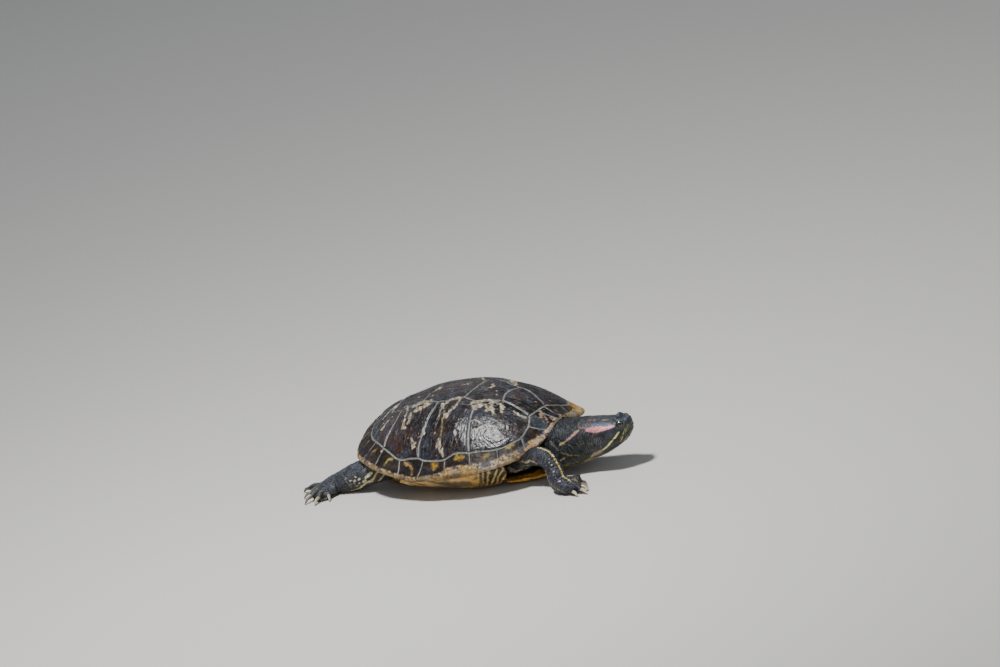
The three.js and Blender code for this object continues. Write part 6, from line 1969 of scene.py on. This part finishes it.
def eyeball(name, k):
    nu, nv = ((56, 96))
    al = np.concatenate([np.linspace(0, 1.15, nu * 3 // 4), np.linspace(1.2, np.pi, nu // 4)])
    be = np.linspace(0, 2 * np.pi, nv, endpoint=False)
    Aa, Bb = np.meshgrid(al, be, indexing="ij")
    g = GAZE[k]
    a = headF - g * (headF @ g)
    a /= np.linalg.norm(a)
    b = np.cross(g, a)
    if b @ headU < 0:
        b = -b
    # cornea bulges a little
    r = (EYE_R - 0.06) * (1 + 0.045 * np.exp(-(Aa / 0.55) ** 2))
    P = EYES[k] + r[..., None] * (np.cos(Aa)[..., None] * g + np.sin(Aa)[..., None] * (np.cos(Bb)[..., None] * a + np.sin(Bb)[..., None] * b))
    rad = EYE_R * np.sin(Aa)
    xx, yy = rad * np.cos(Bb), rad * np.sin(Bb)
    ray = fbm(np.stack([np.cos(Bb) * 6, np.sin(Bb) * 6, rad * 0.8], -1), 1.0, 501, 3)
    iris = mix(np.array([0.018, 0.022, 0.015]), np.array([0.078, 0.085, 0.045]), np.clip(0.5 + 1.1 * ray, 0, 1))
    C = mix(np.array([0.020, 0.018, 0.014]), iris, 1 - smooth(rad + 0.12 * ray, 2.65, 3.05))
    C = mix(C, np.array([0.17, 0.18, 0.11]), np.exp(-((rad - 1.72) / 0.14) ** 2) * 0.4)
    bar = (1 - smooth(np.abs(yy) + 0.15 * ray, 0.30, 0.62)) * (rad < 3.1)
    C = mix(C, np.array([0.015, 0.014, 0.010]), bar * 0.85)
    C = mix(C, np.array([0.002, 0.002, 0.002]), 1 - smooth(rad, 1.45, 1.62))
    C[Aa > 1.5] = (0.02, 0.018, 0.014)
    F = grid_faces(len(al), nv)
    i = np.arange(len(al) - 1)
    wrap = np.stack([i * nv + nv - 1, (i + 1) * nv + nv - 1, (i + 1) * nv, i * nv], -1)
    F = np.concatenate([F[:, ::-1], wrap[:, ::-1]])
    V = M(P.reshape(-1, 3))
    c0 = P[4, 0] - EYES[k]
    f0 = F[4 * nv]
    nrm = np.cross(V[f0[1]] - V[f0[0]], V[f0[2]] - V[f0[0]])
    if nrm @ (V[f0[0]] - M(EYES[k])) < 0:
        F = F[:, ::-1]
    uv = np.stack([0.5 + 0.48 * (Aa / np.pi) * np.cos(Bb), 0.5 + 0.48 * (Aa / np.pi) * np.sin(Bb)], -1).reshape(-1, 2)
    return new_mesh(name, V, F, {"Col": np.clip(C.reshape(-1, 3), 0, 1), "Rough": np.zeros(Aa.size)}, uv=uv, material=MAT_EYE, nodes=(name.replace("eyeball", "eye"),))


eyeball("eyeball_right", 0)
eyeball("eyeball_left", 1)

# ------------------------------------------------------------------ claws
MAT_CLAW = material("claw", rough=(0.25, 0.42), mottling=(0.9, 0.22), bumps=((0.5, 0.03, 0.6),), specular=0.5, sss=0.08, tint=(0.3, 0.26, 0.18))
CLAW_TONE = {"front_right": [0.25, 0.35, 0.9, 1.0, 1.0], "front_left": [1.0, 0.9, 0.7, 0.5, 0.4], "hind_right": [0.1, 0.25, 0.15, 0.75, 0.8], "hind_left": [0.2, 0.3, 0.4, 0.7, 0.7]}


def claws(name):
    VV, FF, CC, UVs = [], [], [], []
    off = 0
    nr, ns = ((34, 22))
    for k, (_, horn) in enumerate(toes_of(name)):
        t = Tube(horn, step=0.35, inset=0.0)
        L = np.linspace(0, t.len[-1], nr)
        ph = np.linspace(0, 2 * np.pi, ns, endpoint=False)
        Lg, Pg = np.meshgrid(L, ph, indexing="ij")
        P, n, _ = t.point(Lg.ravel(), Pg.ravel())
        f = Lg.ravel() / t.len[-1]
        # keel along the back, flatter and grooved beneath, faint growth lines
        i = np.clip(np.searchsorted(t.len, Lg.ravel()), 0, len(t.len) - 1)
        rr = t.r[i, 0]
        sn = np.sin(Pg.ravel())
        P = P + n * (rr * (0.10 * np.clip(sn, 0, 1) ** 3 - 0.22 * np.clip(-sn, 0, 1) ** 2) + 0.03 * np.sin(f * 38 + k))[:, None]
        P[:, 2] = np.maximum(P[:, 2], 0.0)
        tone = CLAW_TONE[name][k]
        root = mix(np.array([0.05, 0.045, 0.04]), np.array([0.36, 0.30, 0.20]), np.full(len(f), tone))
        tip = mix(np.array([0.030, 0.028, 0.026]), np.array([0.62, 0.55, 0.38]), np.full(len(f), tone))
        strk = fbm(np.stack([f * 3, np.cos(Pg.ravel()) * 4, np.sin(Pg.ravel()) * 4 + k * 5], -1), 1.0, 521, 3)
        C = mix(root, tip, smooth(f, 0.1, 0.75)) * (1 + 0.35 * strk)[:, None]
        # painted highlight along the back of the darker claws
        C = mix(C, np.array([0.50, 0.50, 0.50]), np.clip(sn, 0, 1) ** 4 * 0.18 * (1 - tone))
        C = mix(C, np.array([0.02, 0.02, 0.02]), (1 - smooth(f, 0.10, 0.22)) * 0.8)
        F = grid_faces(nr, ns)
        r_ = np.arange(nr - 1)
        wrap = np.stack([r_ * ns + ns - 1, (r_ + 1) * ns + ns - 1, (r_ + 1) * ns, r_ * ns], -1)
        # grid faces run along columns first, so the seam column is closed the same way round
        F = np.concatenate([F, wrap])
        c0, c1 = len(P), len(P) + 1
        P = np.concatenate([P, [t.c[0], t.c[-1] + t.t[-1] * 0.12]])
        P[-1, 2] = max(P[-1, 2], 0.0)
        C = np.concatenate([C, C[:1], C[-1:]])
        j = np.arange(ns)
        jn = (j + 1) % ns
        capa = np.stack([np.full(ns, c0), j, jn, np.full(ns, c0)], -1)
        capb = np.stack([np.full(ns, c1), (nr - 1) * ns + jn, (nr - 1) * ns + j, np.full(ns, c1)], -1)
        tri = np.concatenate([np.concatenate([F[:, [0, 1, 2]], F[:, [0, 2, 3]]]), capa[:, :3], capb[:, :3]])
        v0 = P[tri]
        vol = np.einsum("ij,ij->i", v0[:, 0] - t.c[1], np.cross(v0[:, 1] - t.c[1], v0[:, 2] - t.c[1])).sum()
        if vol < 0:
            tri = tri[:, ::-1]
        VV.append(P)
        FF.append(tri + off)
        CC.append(C)
        u = np.concatenate([(Pg.ravel() / (2 * np.pi)), [0.5, 0.5]]) * 0.18 + 0.01 + 0.2 * k
        v = np.concatenate([f * 0.96 + 0.02, [0.0, 1.0]])
        UVs.append(np.stack([u, v], -1))
        off += len(P)
    V, F, C, UV = np.concatenate(VV), np.concatenate(FF), np.concatenate(CC), np.concatenate(UVs)
    return new_mesh(name + "_claws", M(V), F, {"Col": np.clip(C, 0, 1), "Rough": np.zeros(len(V))}, uv=UV, material=MAT_CLAW,
                    nodes=tuple("%s_claw_%d" % (name, i) for i in range(1, 6)))


for foot_ in FEET:
    claws(foot_)


# ------------------------------------------------------------------ floor, light and camera
def floor():
    m = bpy.data.materials.new("floor_paper")
    m.use_nodes = True
    nt = m.node_tree
    b = nt.nodes["Principled BSDF"]
    tc = node(nt, "ShaderNodeTexCoord")
    n = node(nt, "ShaderNodeTexNoise")
    n.inputs["Scale"].default_value = 260.0
    n.inputs["Detail"].default_value = 4.0
    nt.links.new(tc.outputs["Object"], n.inputs["Vector"])
    r = node(nt, "ShaderNodeMapRange")
    r.inputs["To Min"].default_value = 0.97
    r.inputs["To Max"].default_value = 1.03
    nt.links.new(n.outputs["Fac"], r.inputs["Value"])
    s = node(nt, "ShaderNodeVectorMath", operation="SCALE")
    s.inputs[0].default_value = (0.60, 0.595, 0.58)
    nt.links.new(r.outputs["Result"], s.inputs["Scale"])
    nt.links.new(s.outputs[0], b.inputs["Base Color"])
    b.inputs["Roughness"].default_value = 0.85
    b.inputs["Specular IOR Level"].default_value = 0.2
    me = bpy.data.meshes.new("floor")
    me.from_pydata([(-3, -3, 0), (3, -3, 0), (3, 3, 0), (-3, 3, 0)], [], [(0, 1, 2, 3)])
    me.materials.append(m)
    ob = bpy.data.objects.new("floor", me)
    bpy.context.collection.objects.link(ob)


def lamp(name, where, target, size, power, colour=(1, 1, 1), size_y=None):
    d = bpy.data.lights.new(name, "AREA")
    d.energy = power
    d.color = colour
    d.shape = "RECTANGLE"
    d.size = size
    d.size_y = size_y or size
    ob = bpy.data.objects.new(name, d)
    bpy.context.collection.objects.link(ob)
    ob.location = where
    ob.rotation_euler = (Vector(target) - Vector(where)).to_track_quat("-Z", "Y").to_euler()
    return ob


floor()
lamp("key_light", (0.06, -0.46, 1.28), (0, 0, 0.03), 0.15, 26.0, (1.0, 0.985, 0.96))
lamp("fill_light", (0.75, -1.35, 0.95), (0, 0, 0.03), 2.2, 5.0, (0.95, 0.97, 1.0))
lamp("back_light", (-1.2, 0.9, 1.3), (0, 0, 0.03), 2.0, 3.8, (0.93, 0.96, 1.0))
world = bpy.data.worlds.new("studio")
bpy.context.scene.world = world
world.use_nodes = True
world.node_tree.nodes["Background"].inputs["Color"].default_value = (0.80, 0.84, 0.90, 1)
world.node_tree.nodes["Background"].inputs["Strength"].default_value = 0.20

RR, UU = np.array([0.898, 0.574, -0.246]), np.array([0.005, 0.424, 1.008])
right = RR / np.linalg.norm(RR)
up = UU / np.linalg.norm(UU)
up = up - right * (up @ right)
up /= np.linalg.norm(up)
away = np.cross(right, up)
cam_data = bpy.data.cameras.new("camera")
cam = bpy.data.objects.new("camera", cam_data)
bpy.context.collection.objects.link(cam)
DISTANCE, SCALE = 12000.0, 1.0937
cam_data.sensor_width = 36.0
cam_data.lens = 36.0 * DISTANCE / (1000.0 / SCALE)
cam_data.clip_start, cam_data.clip_end = 0.5, 60.0
cam_data.dof.use_dof = False
where = M([0, 0, -2]) + (right * (500 - 479.2) / SCALE + up * (469.3 - 333.5) / SCALE + away * DISTANCE) / 1000.0
cam.matrix_world = Matrix([[right[0], up[0], away[0], where[0]], [right[1], up[1], away[1], where[1]], [right[2], up[2], away[2], where[2]], [0, 0, 0, 1]])
bpy.context.scene.camera = cam
